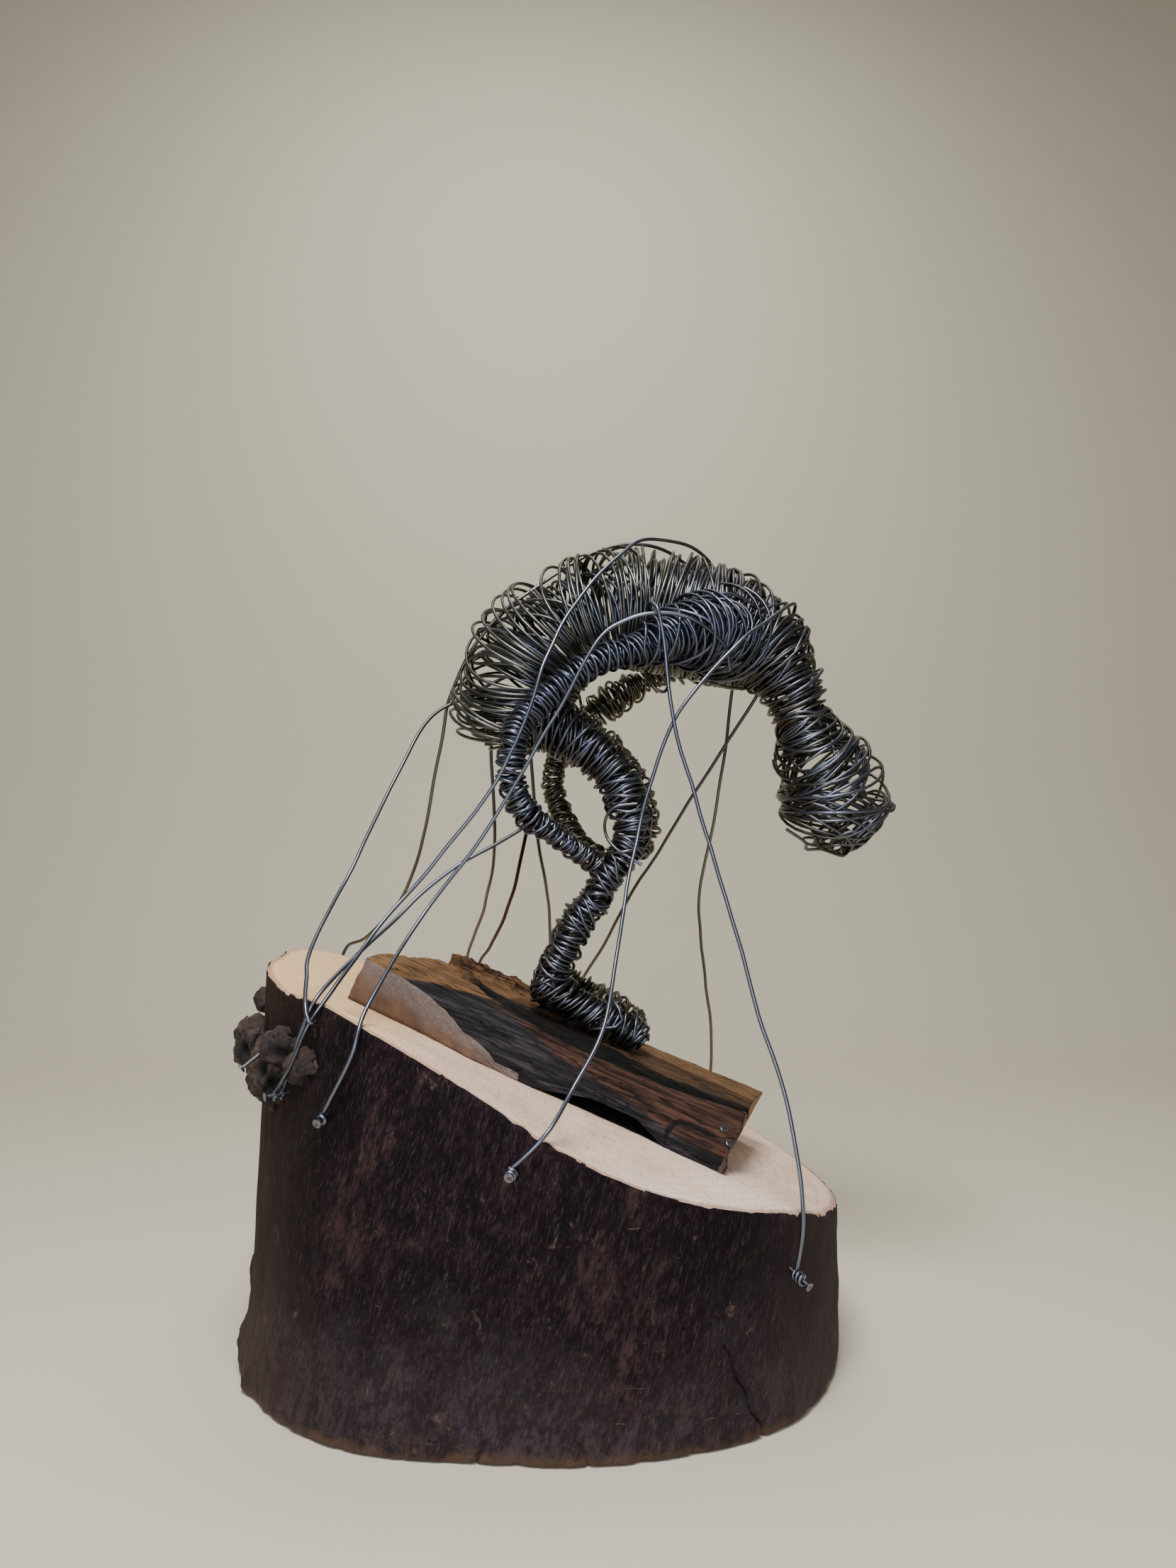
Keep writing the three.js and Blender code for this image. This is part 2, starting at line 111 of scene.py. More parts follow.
# The points that each tether is bent through
TETHERS = {
    "tether_back": [
        (100, -6, 424), (92, -12, 434), (80, -17, 440.5), (63, -23, 441.5), (51, -31, 438),
        (41, -38, 429), (32, -42, 420), (20, -47, 405.5), (10, -53, 389), (3.5, -57, 374),
        (-3, -62, 359), (-9, -64, 338), (-18, -66, 315), (-29, -67, 294), (-60, -68, 253),
        (-80, -78, 228), (-99, -107, 197), (-108, -115, 182), (-116, -110, 164),
    ],
    "tether_shoulder": [
        (97, -56, 362), (93, -61, 374), (80, -66, 384), (66, -67, 389), (50, -67, 388.5),
        (38, -66, 384.5), (29, -66, 378), (20, -67, 364), (4, -68, 334), (-28, -71, 278),
        (-59, -80, 233), (-80, -118, 194), (-86, -128, 172),
    ],
    "tether_forearm": [
        (0, -34, 284), (-6, -38, 281), (-25, -42, 269), (-46, -46, 257), (-70, -55, 236),
        (-88, -78, 216), (-104, -107, 197), (-111, -109, 182), (-116, -103, 166),
    ],
    "tether_hip_front": [
        (-20, -6, 366), (-44, -8, 353), (-64, -12, 339), (-81, -25, 304), (-103, -46, 250),
        (-112.6, -84, 216), (-111.6, -100, 203), (-110.5, -108, 196), (-109.6, -112, 192.6),
        (-108.5, -114.5, 188.3), (-106.8, -115.6, 185.3), (-105, -114, 184.2), (-105, -112, 185.6),
    ],
    "tether_hip_back": [
        (80, -6, 433), (70, -9, 438.5), (58, -12, 441.5), (44, -13, 441.5), (30, -14, 437.5),
        (12, -16, 427.5), (-6, -17, 414), (-23, -17, 400.5), (-37, -14, 385), (-47, -9, 369),
        (-54, -3, 351), (-57, 3, 334), (-61, 12, 316), (-68, 26, 279), (-82, 46, 241),
        (-106, 70, 215), (-121, 91, 207), (-127, 101, 192),
    ],
    "tether_seat": [
        (-28, -4, 340), (-30, 5, 325), (-28, 22, 290), (-28, 40, 266), (-34, 66, 234),
        (-45, 110, 202), (-50, 140, 172),
    ],
    "tether_elbow": [
        (-4, -40, 287), (-8, -34, 281), (-13, -10, 258), (-20, 30, 231), (-30, 68, 210),
        (-38, 110, 196), (-44, 140, 172),
    ],
    "tether_thigh": [
        (-8, -2, 334), (-7, 5, 318), (-3, 24, 280), (4, 50, 245), (7, 68, 227), (8, 110, 190),
        (9, 145, 152),
    ],
    "tether_neck": [
        (132, -14, 374), (126, -6, 364), (109, 10, 334), (66, 52, 259), (39, 84, 205),
        (22, 122, 172), (13, 147, 148),
    ],
    "tether_chest": [
        (111, -4, 378), (110, 4, 368), (109, 22, 335), (106, 36, 300), (99, 54, 245),
        (101, 66, 215), (112, 94, 151), (114, 113, 110),
    ],
    "tether_throat": [
        (146, -2, 384), (141, -8, 397), (140, -24, 406), (130, -38, 400), (116, -53, 388),
        (101, -64, 376), (76, -67, 349), (61, -68, 324), (48, -72, 278), (35, -94, 219),
        (28, -109, 183), (13, -124, 157), (1, -141, 141),
    ],
    "tether_arm": [
        (56, -38, 393), (54, -50, 396), (53, -61, 395.5), (55, -69, 393), (58, -72, 383),
        (67, -72, 324), (85, -82, 259), (102, -95, 193), (115, -106, 145), (120, -113, 100),
    ],
}
# Each tether's nail, how far along the nail it is hitched, and its turns round it
HITCHES = {
    "tether_back": ("nail_left", 0.5, 0.7),
    "tether_shoulder": ("nail_left_rim", 0.5, 1.1),
    "tether_forearm": ("nail_left", 0.22, 0.7),
    "tether_hip_back": ("nail_back_left", 0.5, 1.2),
    "tether_seat": ("nail_back_inner", 0.75, 1.2),
    "tether_elbow": ("nail_back_inner", 0.3, 1.2),
    "tether_thigh": ("nail_back_middle", 0.75, 1.2),
    "tether_neck": ("nail_back_middle", 0.4, 1.2),
    "tether_chest": ("nail_back_right", 0.5, 1.2),
    "tether_throat": ("nail_front", 0.45, 2.1),
    "tether_arm": ("nail_right", 0.35, 2.6),
}

# Each nail: where it enters the wood, the way it sticks out, and by how much
NAILS = {
    "nail_free": ((-133, -84, 168), (-0.72, -0.35, -0.6), 14),
    "nail_left": ((-120, -89, 149), (-0.85, -0.5, -0.1), 12),
    "nail_left_rim": ((-97, -111, 144), (-0.4, -0.85, -0.3), 11),
    "nail_front": ((-12, -137, 126), (-0.3, -0.9, -0.25), 11),
    "nail_right": ((115, -104, 72), (0.5, -0.75, -0.4), 15),
    "nail_back_left": ((-119, 92, 178), (-0.6, 0.8, 0), 11),
    "nail_back_inner": ((-48, 131, 155), (-0.1, 1, 0), 12),
    "nail_back_middle": ((10, 138, 130), (0, 1, 0), 12),
    "nail_back_right": ((113, 106, 88), (0.5, 0.86, 0), 11),
}
PLANK_NAILS = {"plank_nail_1": (91, -72), "plank_nail_2": (93, -76.5)}
PLANK_NAIL_OUT = (0.28, -0.68, 0.69)


# Shared tools

STEPS_PER_SPAN = 8


def drift(seed, ats):
    """Values that wander smoothly between about -1 and 1 along the given places."""
    row = 0.37 + 5.13 * seed
    return np.array([1.5 * noise.noise(Vector((at, row, 0.61))) for at in ats])


def rough(x, y, z, size, seed=0):
    """Solid noise between about -1 and 1, with lumps of the given size in millimetres."""
    return noise.fractal(Vector((x / size, y / size, z / size + 9.7 * seed)), 0.9, 2.1, 3)


def smooth_step(low, high, value):
    share = min(1, max(0, (value - low) / (high - low)))
    return share * share * (3 - 2 * share)


def hump(distance, width):
    return math.exp(-((distance / width) ** 2))


def smooth_run(rows):
    """The rows with smoothly curving ones between them."""
    rows = np.array(rows, float)
    held = np.vstack([2 * rows[0] - rows[1], rows, 2 * rows[-1] - rows[-2]])
    run = []
    for before, here, after, beyond in zip(held, held[1:], held[2:], held[3:]):
        for share in np.arange(STEPS_PER_SPAN) / STEPS_PER_SPAN:
            run.append(
                here
                + 0.5 * share * (after - before)
                + 0.5 * share**2 * (2 * before - 5 * here + 4 * after - beyond)
                + 0.5 * share**3 * (3 * here - before - 3 * after + beyond)
            )
    run.append(rows[-1])
    return np.array(run)


def run_lengths(places):
    """How far along the run each place lies."""
    steps = np.linalg.norm(np.diff(places, axis=0), axis=1)
    return np.concatenate([[0], np.cumsum(steps)])


def unit(vectors):
    return vectors / np.linalg.norm(vectors, axis=-1, keepdims=True)


def new_object(name, data):
    made = bpy.data.objects.new(name, data)
    bpy.context.scene.collection.objects.link(made)
    return made


def add_object(name, mesh, finishes):
    for finish in finishes:
        mesh.materials.append(finish)
    return new_object(name, mesh)


def keep(piece, slot, *nodes):
    """Fixes a finished piece to the sculpture, in place of the given solids."""
    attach(piece, "root")
    if nodes:
        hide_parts(*nodes)


def mesh_from(made, name, smooth=True):
    """The mesh of a bmesh made in millimetres."""
    bmesh.ops.scale(made, vec=(MM, MM, MM), verts=made.verts)
    for face in made.faces:
        face.smooth = smooth
    mesh = bpy.data.meshes.new(name)
    made.to_mesh(mesh)
    made.free()
    return mesh


# Wire

# The length of a bent wire's waves, and the points along a winding from one tone to the next
WAVE_LENGTH = 26
TONE_STEPS = 22
TONE_APART = 40


class Form:
    """The round body that a wire is wound on, swept along its stations."""

    def __init__(self, stations, domes=(True, True)):
        run = smooth_run([(*s, s[3]) if len(s) == 4 else s for s in stations])
        places = run[:, :3]
        self.reach = run_lengths(places)
        self.length = self.reach[-1]
        ways = unit(np.gradient(places, axis=0))
        across = []
        side = np.array([0.0, 1.0, 0.0])
        for way in ways:
            side = unit(side - way * (side @ way))
            across.append(side)
        across = np.array(across)
        outward = np.cross(ways, across)
        sizes = run[:, 3:5] - WIRE / 2
        for domed, to_end in zip(domes, (self.reach, self.length - self.reach)):
            inward = np.clip(1 - to_end / (0.7 * run[:, 3]), 0, 1) * domed
            sizes = sizes * np.sqrt(1 - inward**2)[:, None]
        self.table = np.hstack([places, outward, across, sizes])

    def at(self, distances):
        columns = [np.interp(distances, self.reach, column) for column in self.table.T]
        return np.stack(columns, 1)


def wind(form, span, pitch, seed, size, tilt, spread, anchor=0.0, sway=(0.0, 0.0), group=5.5):
    """The points of one wire wound round a form over a span of its length.

    The turns come in groups. Those of one group lie nearly parallel, and each group leans its
    own way by the tilt and has its own size by the spread. The anchor keeps every turn tight on
    the inner side of the bend, and the sway is a lean that all the turns share.
    """
    first, last = span[0] * form.length, span[1] * form.length
    turns = abs(last - first) / pitch
    segments = max(14, round(size * form.table[:, 9].max() * 1.1))
    turn = np.linspace(0, turns, round(turns * segments) + 1)
    angle = 2 * np.pi * turn + 1.7 * seed
    # A staircase with soft steps: the groups of turns
    in_groups = turn / group + 0.3 * drift(seed + 3, 0.15 * turn)
    whole = np.floor(in_groups)
    rise = np.clip((in_groups - whole - 0.65) / 0.35, 0, 1)
    step = whole + rise * rise * (3 - 2 * rise)
    gathered_turn = turn + 0.3 * group / (2 * np.pi) * np.sin(2 * np.pi * in_groups)
    distance = first + (last - first) * gathered_turn / turns
    half = np.interp(distance, form.reach, form.table[:, 9])
    lean = tilt * (1.3 * drift(seed + 11, 1.37 * step) + 0.25 * drift(seed + 13, 0.8 * turn))
    lean_way = 2 * np.pi * drift(seed + 23, 0.43 * step)
    distance = distance + lean * half * np.cos(angle - lean_way)
    distance = distance + sway[0] * half * np.cos(angle - sway[1])
    distance = distance + 0.15 * pitch * drift(seed + 31, 0.9 * turn)
    distance = np.clip(distance, 0, form.length)
    swell = size + spread * (drift(seed + 41, 1.61 * step) + 0.5 * drift(seed + 47, 0.9 * turn))
    rows = form.at(distance)
    places, outward, across = rows[:, :3], rows[:, 3:6], rows[:, 6:9]
    out = rows[:, 9] * (swell * np.cos(angle) - anchor * (1 - swell))
    aside = rows[:, 10] * swell * np.sin(angle)
    return places + outward * out[:, None] + across * aside[:, None]


def bend(points, slack=0.0, seed=0):
    """A stiff wire's run through the points, with the slight waves left by the hand."""
    run = smooth_run(points)
    reach = run_lengths(run)
    ease = slack * np.sin(np.pi * reach / reach[-1])
    waves = [ease * drift(seed + 3 * axis, reach / WAVE_LENGTH) for axis in range(3)]
    return run + np.stack(waves, 1)


def wire_piece(name, strands, diameter, finish, sides=8):
    """Round wires along the strands, as one mesh that knows how each turn is toned."""
    curve = bpy.data.curves.new(name, "CURVE")
    curve.dimensions = "3D"
    curve.bevel_depth = diameter / 2 * MM
    curve.bevel_resolution = sides // 2 - 2
    curve.use_fill_caps = True
    curve.twist_mode = "MINIMUM"
    for strand in strands:
        spline = curve.splines.new("POLY")
        spline.points.add(len(strand) - 1)
        flat = np.hstack([strand * MM, np.ones((len(strand), 1))])
        spline.points.foreach_set("co", flat.ravel())
        spline.use_smooth = True
    holder = new_object(name + "_run", curve)
    bpy.context.view_layer.update()
    mesh = bpy.data.meshes.new_from_object(holder)
    bpy.data.objects.remove(holder)
    bpy.data.curves.remove(curve)
    mesh.materials.clear()
    tone = mesh.attributes.new("turn_tone", "FLOAT", "POINT")
    steps = [
        np.arange(len(strand)) / TONE_STEPS + TONE_APART * k for k, strand in enumerate(strands)
    ]
    tones = 0.5 + 0.5 * drift(77, np.concatenate(steps))
    around = len(mesh.vertices) // len(tones)
    tone.data.foreach_set("value", np.resize(np.repeat(tones, around), len(mesh.vertices)))
    return add_object(name, mesh, [finish])


# Finishes


def tint(red, green, blue):
    """A colour as it looks, from 0 to 255, as the shader's linear values."""
    return tuple((part / 255) ** 2.2 for part in (red, green, blue)) + (1.0,)


class Signal:
    """A value or a colour worked out by a finish's nodes."""

    def __init__(self, finish, socket):
        self.finish = finish
        self.socket = socket

    def _sum(self, operation, first, second):
        return self.finish.node("Math", {"operation": operation}, {0: first, 1: second})

    def __add__(self, other):
        return self._sum("ADD", self, other)

    __radd__ = __add__

    def __sub__(self, other):
        return self._sum("SUBTRACT", self, other)

    def __rsub__(self, other):
        return self._sum("SUBTRACT", other, self)

    def __mul__(self, other):
        return self._sum("MULTIPLY", self, other)

    __rmul__ = __mul__

    def band(self, low, high):
        """0 below low, 1 above high, and smooth between."""
        settings = {"interpolation_type": "SMOOTHSTEP"}
        limits = {"Value": self, "From Min": low, "From Max": high}
        return self.finish.node("MapRange", settings, limits)

    def wave(self):
        return self.finish.node("Math", {"operation": "SINE"}, {0: self})

    def away(self, level):
        """How far the signal is from a level, either way."""
        return self.finish.node("Math", {"operation": "ABSOLUTE"}, {0: self - level})


class Finish:
    """One material: a principled shader and the nodes that feed it."""

    def __init__(self, name, **constants):
        self.material = bpy.data.materials.new(name)
        self.material.use_nodes = True
        self.nodes = self.material.node_tree.nodes
        self.links = self.material.node_tree.links
        self.shader = self.nodes["Principled BSDF"]
        for key, value in constants.items():
            self.shader.inputs[key.replace("_", " ").title()].default_value = value
        self.place = self.node("TexCoord", output="Object")
        self.colour = None

    def node(self, kind, settings=None, inputs=None, output=0):
        made = self.nodes.new("ShaderNode" + kind)
        for key, value in (settings or {}).items():
            if key == "stops":
                self.set_stops(made.color_ramp, value)
            else:
                setattr(made, key, value)
        for key, value in (inputs or {}).items():
            if isinstance(value, Signal):
                self.links.new(value.socket, made.inputs[key])
            else:
                made.inputs[key].default_value = value
        return Signal(self, made.outputs[output])

    def set_stops(self, ramp, stops):
        while len(ramp.elements) < len(stops):
            ramp.elements.new(0.5)
        for element, (position, shade) in zip(ramp.elements, stops):
            element.position = position
            element.color = tint(*shade)

    def feed(self, **signals):
        """Joins the colour and the other signals to the shader, and gives the material."""
        for key, signal in {"base_color": self.colour, **signals}.items():
            self.links.new(signal.socket, self.shader.inputs[key.replace("_", " ").title()])
        return self.material

    def stretched(self, place, scale, turn=(0, 0, 0)):
        return self.node("Mapping", None, {"Vector": place, "Rotation": turn, "Scale": scale})

    def grain(
        self, scale, detail, roughness=0.55, distortion=0.0, place=None, stretch=None,
        turn=(0, 0, 0),
    ):
        """A rough pattern, which a stretch and a turn of the place draw out along the grain."""
        place = place or self.place
        inputs = {
            "Vector": self.stretched(place, stretch, turn) if stretch else place,
            "Scale": scale,
            "Detail": detail,
            "Roughness": roughness,
            "Distortion": distortion,
        }
        return self.node("TexNoise", None, inputs)

    def ramp(self, value, stops):
        return self.node("ValToRGB", {"stops": stops}, {"Fac": value})

    def mix(self, share, *shades):
        """Two shades mixed by a share, each a signal or a colour as it looks."""
        first, second = (tint(*shade) if isinstance(shade, tuple) else shade for shade in shades)
        return self.node("Mix", {"data_type": "RGBA"}, {0: share, 6: first, 7: second}, output=2)

    def lay(self, share, shade):
        """Lays a further shade over the colour, by a share of it."""
        self.colour = self.mix(share, self.colour, shade)

    def axis(self, which):
        return self.node("SeparateXYZ", None, {0: self.place}, output="XYZ".index(which))

    def flat_distance(self, x, y):
        """How far the place is from an upright line."""
        shifted = self.node("VectorMath", {"operation": "ADD"}, {0: self.place, 1: (-x, -y, 0)})
        flat = self.stretched(shifted, (1, 1, 0))
        return self.node("VectorMath", {"operation": "LENGTH"}, {0: flat}, output="Value")

    def attribute(self, name):
        """A value that the mesh holds at each of its points."""
        return self.node("Attribute", {"attribute_name": name}, output="Fac")

    def bump(self, height, strength, distance, normal=None):
        inputs = {"Height": height, "Strength": strength, "Distance": distance}
        if normal:
            inputs["Normal"] = normal
        return self.node("Bump", None, inputs)


def wire_finish(name, dark, near_reflection_tint, far_reflection_tint, roughness):
    """Drawn steel wire: a painted reflection, blue-grey on the near side and khaki on the far,
    shifting a little from turn to turn, and darker in places.
    """
    finish = Finish(name, metallic=1.0)
    turn_tone = finish.attribute("turn_tone")
    wide = finish.grain(42, 2.0)
    fine = finish.grain(240, 2.0)
    # Painted reflection: the far side is tinted khaki and the near side blue-grey, as the warm and
    # the bluish lights would tint them.
    far = (finish.axis("Y") + (turn_tone - 0.5) * 0.04 + (wide - 0.5) * 0.03).band(-0.045, 0.0)
    finish.colour = finish.mix(far, near_reflection_tint, far_reflection_tint)
    finish.lay(turn_tone.band(0.62, 0.98) * 0.7, dark)
    finish.lay(fine.band(0.55, 0.8) * 0.3, dark)
    return finish.feed(roughness=roughness + fine * 0.14)


STEEL = wire_finish("wound_wire", (34, 34, 38), (98, 103, 120), (102, 99, 86), 0.27)
# The back's steel, whose painted reflection is grey, not blue, on its near side
WARM_LIT_STEEL = wire_finish("wound_wire_warm_lit", (34, 34, 34), (100, 102, 103), (100, 98, 87), 0.27)
TETHER_STEEL = wire_finish("tether_wire", (66, 69, 78), (112, 118, 135), (108, 106, 101), 0.26)
RUSTED = wire_finish("rusty_wire", (44, 30, 24), (84, 60, 46), (72, 50, 38), 0.4)


def nail_finish():
    finish = Finish("bright_nail", metallic=1.0)
    scuff = finish.grain(380, 3.0)
    finish.colour = finish.mix(scuff.band(0.45, 0.75), (124, 126, 136), (70, 68, 70))
    return finish.feed(roughness=0.22 + scuff * 0.25, normal=finish.bump(scuff, 0.3, 0.0001))


NAIL_STEEL = nail_finish()


def bark_finish():
    """The log's weathered side: dark purple-brown, with slanting fibres and pale scuffs."""
    finish = Finish("weathered_side")
    height = finish.axis("Z")
    turning = {"Vector": finish.place, "Angle": height * -1.9}
    slanted = finish.node("VectorRotate", {"rotation_type": "Z_AXIS"}, turning)
    fibres = finish.grain(900, 4.0, 0.65, stretch=(1, 1, 0.19), place=slanted)
    threads = finish.grain(2200, 3.0, 0.6, stretch=(1, 1, 0.1), place=slanted)
    streaks = finish.grain(150, 5.0, 0.75, 0.5, stretch=(1, 1, 0.5), place=slanted)
    flakes = finish.grain(460, 4.0, 0.7, 0.4, stretch=(1, 1, 0.75), place=slanted)
    clouds = finish.grain(20, 5.0, 0.65, 0.6, stretch=(1, 1, 0.6), place=slanted)
    dark = [(0.38, (9, 4, 9)), (0.47, (20, 11, 20))]
    light = [(0.54, (34, 22, 30)), (0.64, (62, 47, 48))]
    finish.colour = finish.ramp(streaks * 0.35 + clouds * 0.45 + flakes * 0.2, dark + light)
    finish.lay(fibres.band(0.52, 0.72) * 0.5, (76, 60, 56))
    finish.lay((1 - fibres).band(0.5, 0.64) * 0.7, (8, 3, 8))
    finish.lay(threads.band(0.6, 0.76) * 0.4, (112, 94, 80))
    finish.lay((1 - flakes).band(0.56, 0.68) * 0.55, (10, 6, 9))
    # Browner upper patches, a brown left side, and greyer wood next to the foot
    brown = (clouds + (streaks - 0.5) * 0.5).band(0.54, 0.66) * height.band(0.05, 0.12)
    finish.lay(brown * 0.25, (78, 60, 52))
    leftness = (finish.axis("X") * -1 + clouds * 0.05).band(0.11, 0.18)
    finish.lay(leftness * 0.5, (66, 52, 43))
    rightness = (finish.axis("X") + clouds * 0.05).band(0.1, 0.18)
    finish.lay(rightness * (0.2 + threads * 0.3), (82, 66, 68))
    dusty = 1 - (height + (clouds - 0.5) * 0.2 + (streaks - 0.5) * 0.1).band(0.01, 0.07)
    patchy = (streaks + (flakes - 0.5) * 0.5).band(0.43, 0.6)
    finish.lay(dusty * (0.12 + patchy * 0.16), (104, 90, 92))
    # Scuffs, scratches and small specks of paint
    scuffs = finish.grain(130, 6.0, 0.75, 0.6, stretch=(1, 1, 0.6))
    finish.lay(scuffs.band(0.6, 0.72) * 0.45, (116, 98, 84))
    scratches = finish.grain(100, 3.0, 0.5, 0.6, stretch=(1, 1, 9), turn=(0.3, 0.5, 0))
    marked = scratches.band(0.7, 0.75) * clouds.band(0.5, 0.58)
    finish.lay(marked * 0.5, (122, 104, 94))
    paint = finish.grain(80, 1.0)
    low = 1 - height.band(0.02, 0.11)
    finish.lay(paint.band(0.76, 0.79) * low * 0.7, (34, 42, 62))
    # The foot is worn to lighter wood.
    worn = 1 - (height + (clouds - 0.5) * 0.02 + (scuffs - 0.5) * 0.012).band(0.001, 0.007)
    finish.lay(worn * 0.7, (96, 76, 62))
    bump = finish.bump(fibres + threads * 0.35, 0.6, 0.0009)
    bump = finish.bump(clouds + scuffs + flakes * 0.4, 0.35, 0.0025, bump)
    finish.shader.inputs["Specular IOR Level"].default_value = 0.14
    return finish.feed(roughness=0.66 + threads * 0.2, normal=bump)


def cut_finish():
    """The slanted cut: pale cream, with faint rings and the fine arcs of the saw."""
    finish = Finish("sawn_cut")
    clouds = finish.grain(18, 4.0, 0.6)
    fine = finish.grain(420, 3.0, 0.6)
    from_heart = finish.flat_distance(0.02, -0.01)
    rings = (from_heart * 900 + clouds * 9).wave()
    from_saw = finish.flat_distance(-0.1, -0.35)
    arcs = (from_saw * 3300 + fine * 2.5 + clouds * 5).wave()
    creams = [(0.32, (228, 192, 170)), (0.5, (243, 216, 200)), (0.68, (251, 233, 222))]
    finish.colour = finish.ramp(clouds, creams)
    finish.lay(rings.band(0.2, 1.0) * 0.13, (176, 132, 96))
    finish.lay(arcs.band(0.1, 1.0) * 0.05, (190, 150, 118))
    stretched = finish.grain(130, 3.0, stretch=(1, 5, 1), turn=(0, 0, 0.3))
    finish.lay(stretched.band(0.6, 0.75) * 0.25, (184, 142, 108))
    warm = (finish.axis("X") * -1 + clouds * 0.04).band(0.05, 0.12)
    finish.lay(warm * 0.8, (230, 188, 134))
    # Saw fibres across the near rim, browner towards its edge
    fibres = finish.grain(900, 4.0, 0.65, 0.6, stretch=(1, 0.12, 0.3), turn=(0, 0, -0.5))
    finish.lay((1 - fibres).band(0.5, 0.68) * 0.4, (176, 136, 108))
    rim = finish.attribute("near_rim") + (fine - 0.5) * 0.5
    finish.lay(rim.band(0.45, 1.1) * 0.7, (140, 104, 84))
    # Fine splits run in from the right end, darkened by painted shade.
    run, aside = finish.axis("X"), finish.axis("Y") + (clouds - 0.5) * 0.006
    split = (1 - aside.away(-0.03).band(0.0, 0.0005)) * run.band(0.11, 0.13)
    second = (1 - (aside - run * 0.35).away(-0.075).band(0.0, 0.0004)) * run.band(0.09, 0.12)
    finish.lay((split + second) * 0.6, (84, 58, 46))
    # Painted shadow on the cut, under the gap at the plank's near edge
    inward = finish.axis("Y") + run * 0.141 + 0.067 + (fine - 0.5) * 0.002
    under = inward.band(0.001, 0.004) * (1 - inward.band(0.04, 0.05))
    under = under * run.band(-0.012, 0.004)
    finish.lay(under * (1 - run.band(0.055, 0.066)) * 0.97, (9, 7, 7))
    bump = finish.bump(arcs * 0.25 + fine * 1.8 + fibres * 2 - split * 2, 0.4, 0.0004)
    return finish.feed(roughness=0.68 + fine * 0.15, normal=bump)


def burl_finish():
    finish = Finish("burl_wood")
    clouds = finish.grain(90, 4.0, 0.6)
    fine = finish.grain(700, 3.0, 0.6)
    dark = [(0.36, (18, 13, 14)), (0.48, (46, 35, 32))]
    light = [(0.6, (74, 59, 51)), (0.72, (108, 91, 79))]
    finish.colour = finish.ramp(clouds * 0.7 + fine * 0.3, dark + light)
    # Painted shade, near-black, in the burl's furrows and hollows
    hollow = (finish.attribute("in_hollow") + (fine - 0.5) * 0.5).band(0.2, 0.8)
    finish.lay(hollow * 0.9, (10, 7, 8))
    bump = finish.bump(fine + clouds, 0.6, 0.0009)
    return finish.feed(roughness=0.72 + fine * 0.2, normal=bump)


BARK = bark_finish()
CUT = cut_finish()
BURL = burl_finish()

# The plank's colours lie in bands along its grain, which runs a little askew to X.
EDGE_SLOPE = -15.5 / 110


def plank_top_finish():
    """The plank's split top, from the blue-black round edge to the tan back."""
    finish = Finish("plank_top")
    along = finish.axis("X")
    # Turned so that the grain, which falls with the cut, runs along X
    turning = {"Vector": finish.place, "Axis": (0, -0.946, 0.324), "Angle": 0.411}
    turned = finish.node("VectorRotate", {"rotation_type": "AXIS_ANGLE"}, turning)
    clouds = finish.grain(38, 4.0, 0.6)
    fibres = finish.grain(1500, 4.0, 0.65, stretch=(0.08, 1, 1), place=turned)
    lines = finish.grain(420, 5.0, 0.65, 0.3, stretch=(0.1, 1, 1), place=turned)
    splits = finish.grain(150, 4.0, 0.55, 0.6, stretch=(0.12, 1, 1), place=turned)
    wander = (clouds - 0.5) * 9 + (lines - 0.5) * 6
    over_char = finish.attribute("over_char") + wander * 0.7
    past_groove = finish.attribute("past_groove") + wander * 0.25
    past_corner = finish.attribute("past_corner") + wander * 0.5
    finish.colour = finish.mix(lines.band(0.4, 0.62), (42, 27, 23), (84, 58, 47))
    far = finish.mix(lines.band(0.36, 0.62), (48, 32, 23), (98, 70, 47))
    finish.lay(past_groove.band(0, 3), far)
    charred = finish.mix(lines.band(0.42, 0.66), (20, 19, 23), (58, 54, 60))
    finish.lay(1 - over_char.band(-1.5, 2.5), charred)
    tan = finish.mix(fibres.band(0.35, 0.65), (98, 71, 46), (136, 103, 70))
    tan = finish.mix((clouds + (lines - 0.5) * 0.8).band(0.5, 0.68) * 0.7, tan, (86, 61, 42))
    finish.lay(past_corner.band(-0.5, 1.5), tan)
    splinter = finish.attribute("on_splinter")
    torn = finish.mix(lines.band(0.42, 0.6), (42, 25, 18), (120, 84, 54))
    finish.lay(splinter.band(0.1, 0.6) * 0.85, torn)
    # Charring in the groove, and a painted shadow round the figure's heel
    heel = finish.attribute("near_heel")
    char_and_heel_shadow = 1 - (past_groove.away(2) - heel * 16 + (lines - 0.5) * 8).band(5, 7)
    finish.lay(fibres.band(0.58, 0.76) * 0.22, (132, 106, 88))
    finish.lay((1 - fibres).band(0.54, 0.66) * 0.6, (14, 10, 10))
    char_and_heel_shadow = char_and_heel_shadow * along.band(-0.05, -0.03)
    finish.lay(char_and_heel_shadow * (1.05 - lines.band(0.55, 0.7) * 0.35), (6, 4, 5))
    # Painted shade, near-black, in the flake's crack, along the plank's lower edge and underside,
    # and in the long splits along the grain
    under = finish.attribute("underneath").band(0.35, 0.9)
    finish.lay(finish.attribute("in_crack").band(0.25, 0.7) * 0.9, (6, 4, 5))
    finish.lay(under * 0.95, (5, 4, 4))
    split = (0.5 - splits.away(0.5) * 24).band(0.05, 0.45) * clouds.band(0.38, 0.5)
    finish.lay(split * 0.85, (9, 6, 6))
    bump = finish.bump(fibres + lines * 1.6 - split * 2.5, 0.8, 0.0011)
    finish.shader.inputs["Specular IOR Level"].default_value = 0.25
    return finish.feed(roughness=0.6 + fibres * 0.2, normal=bump)


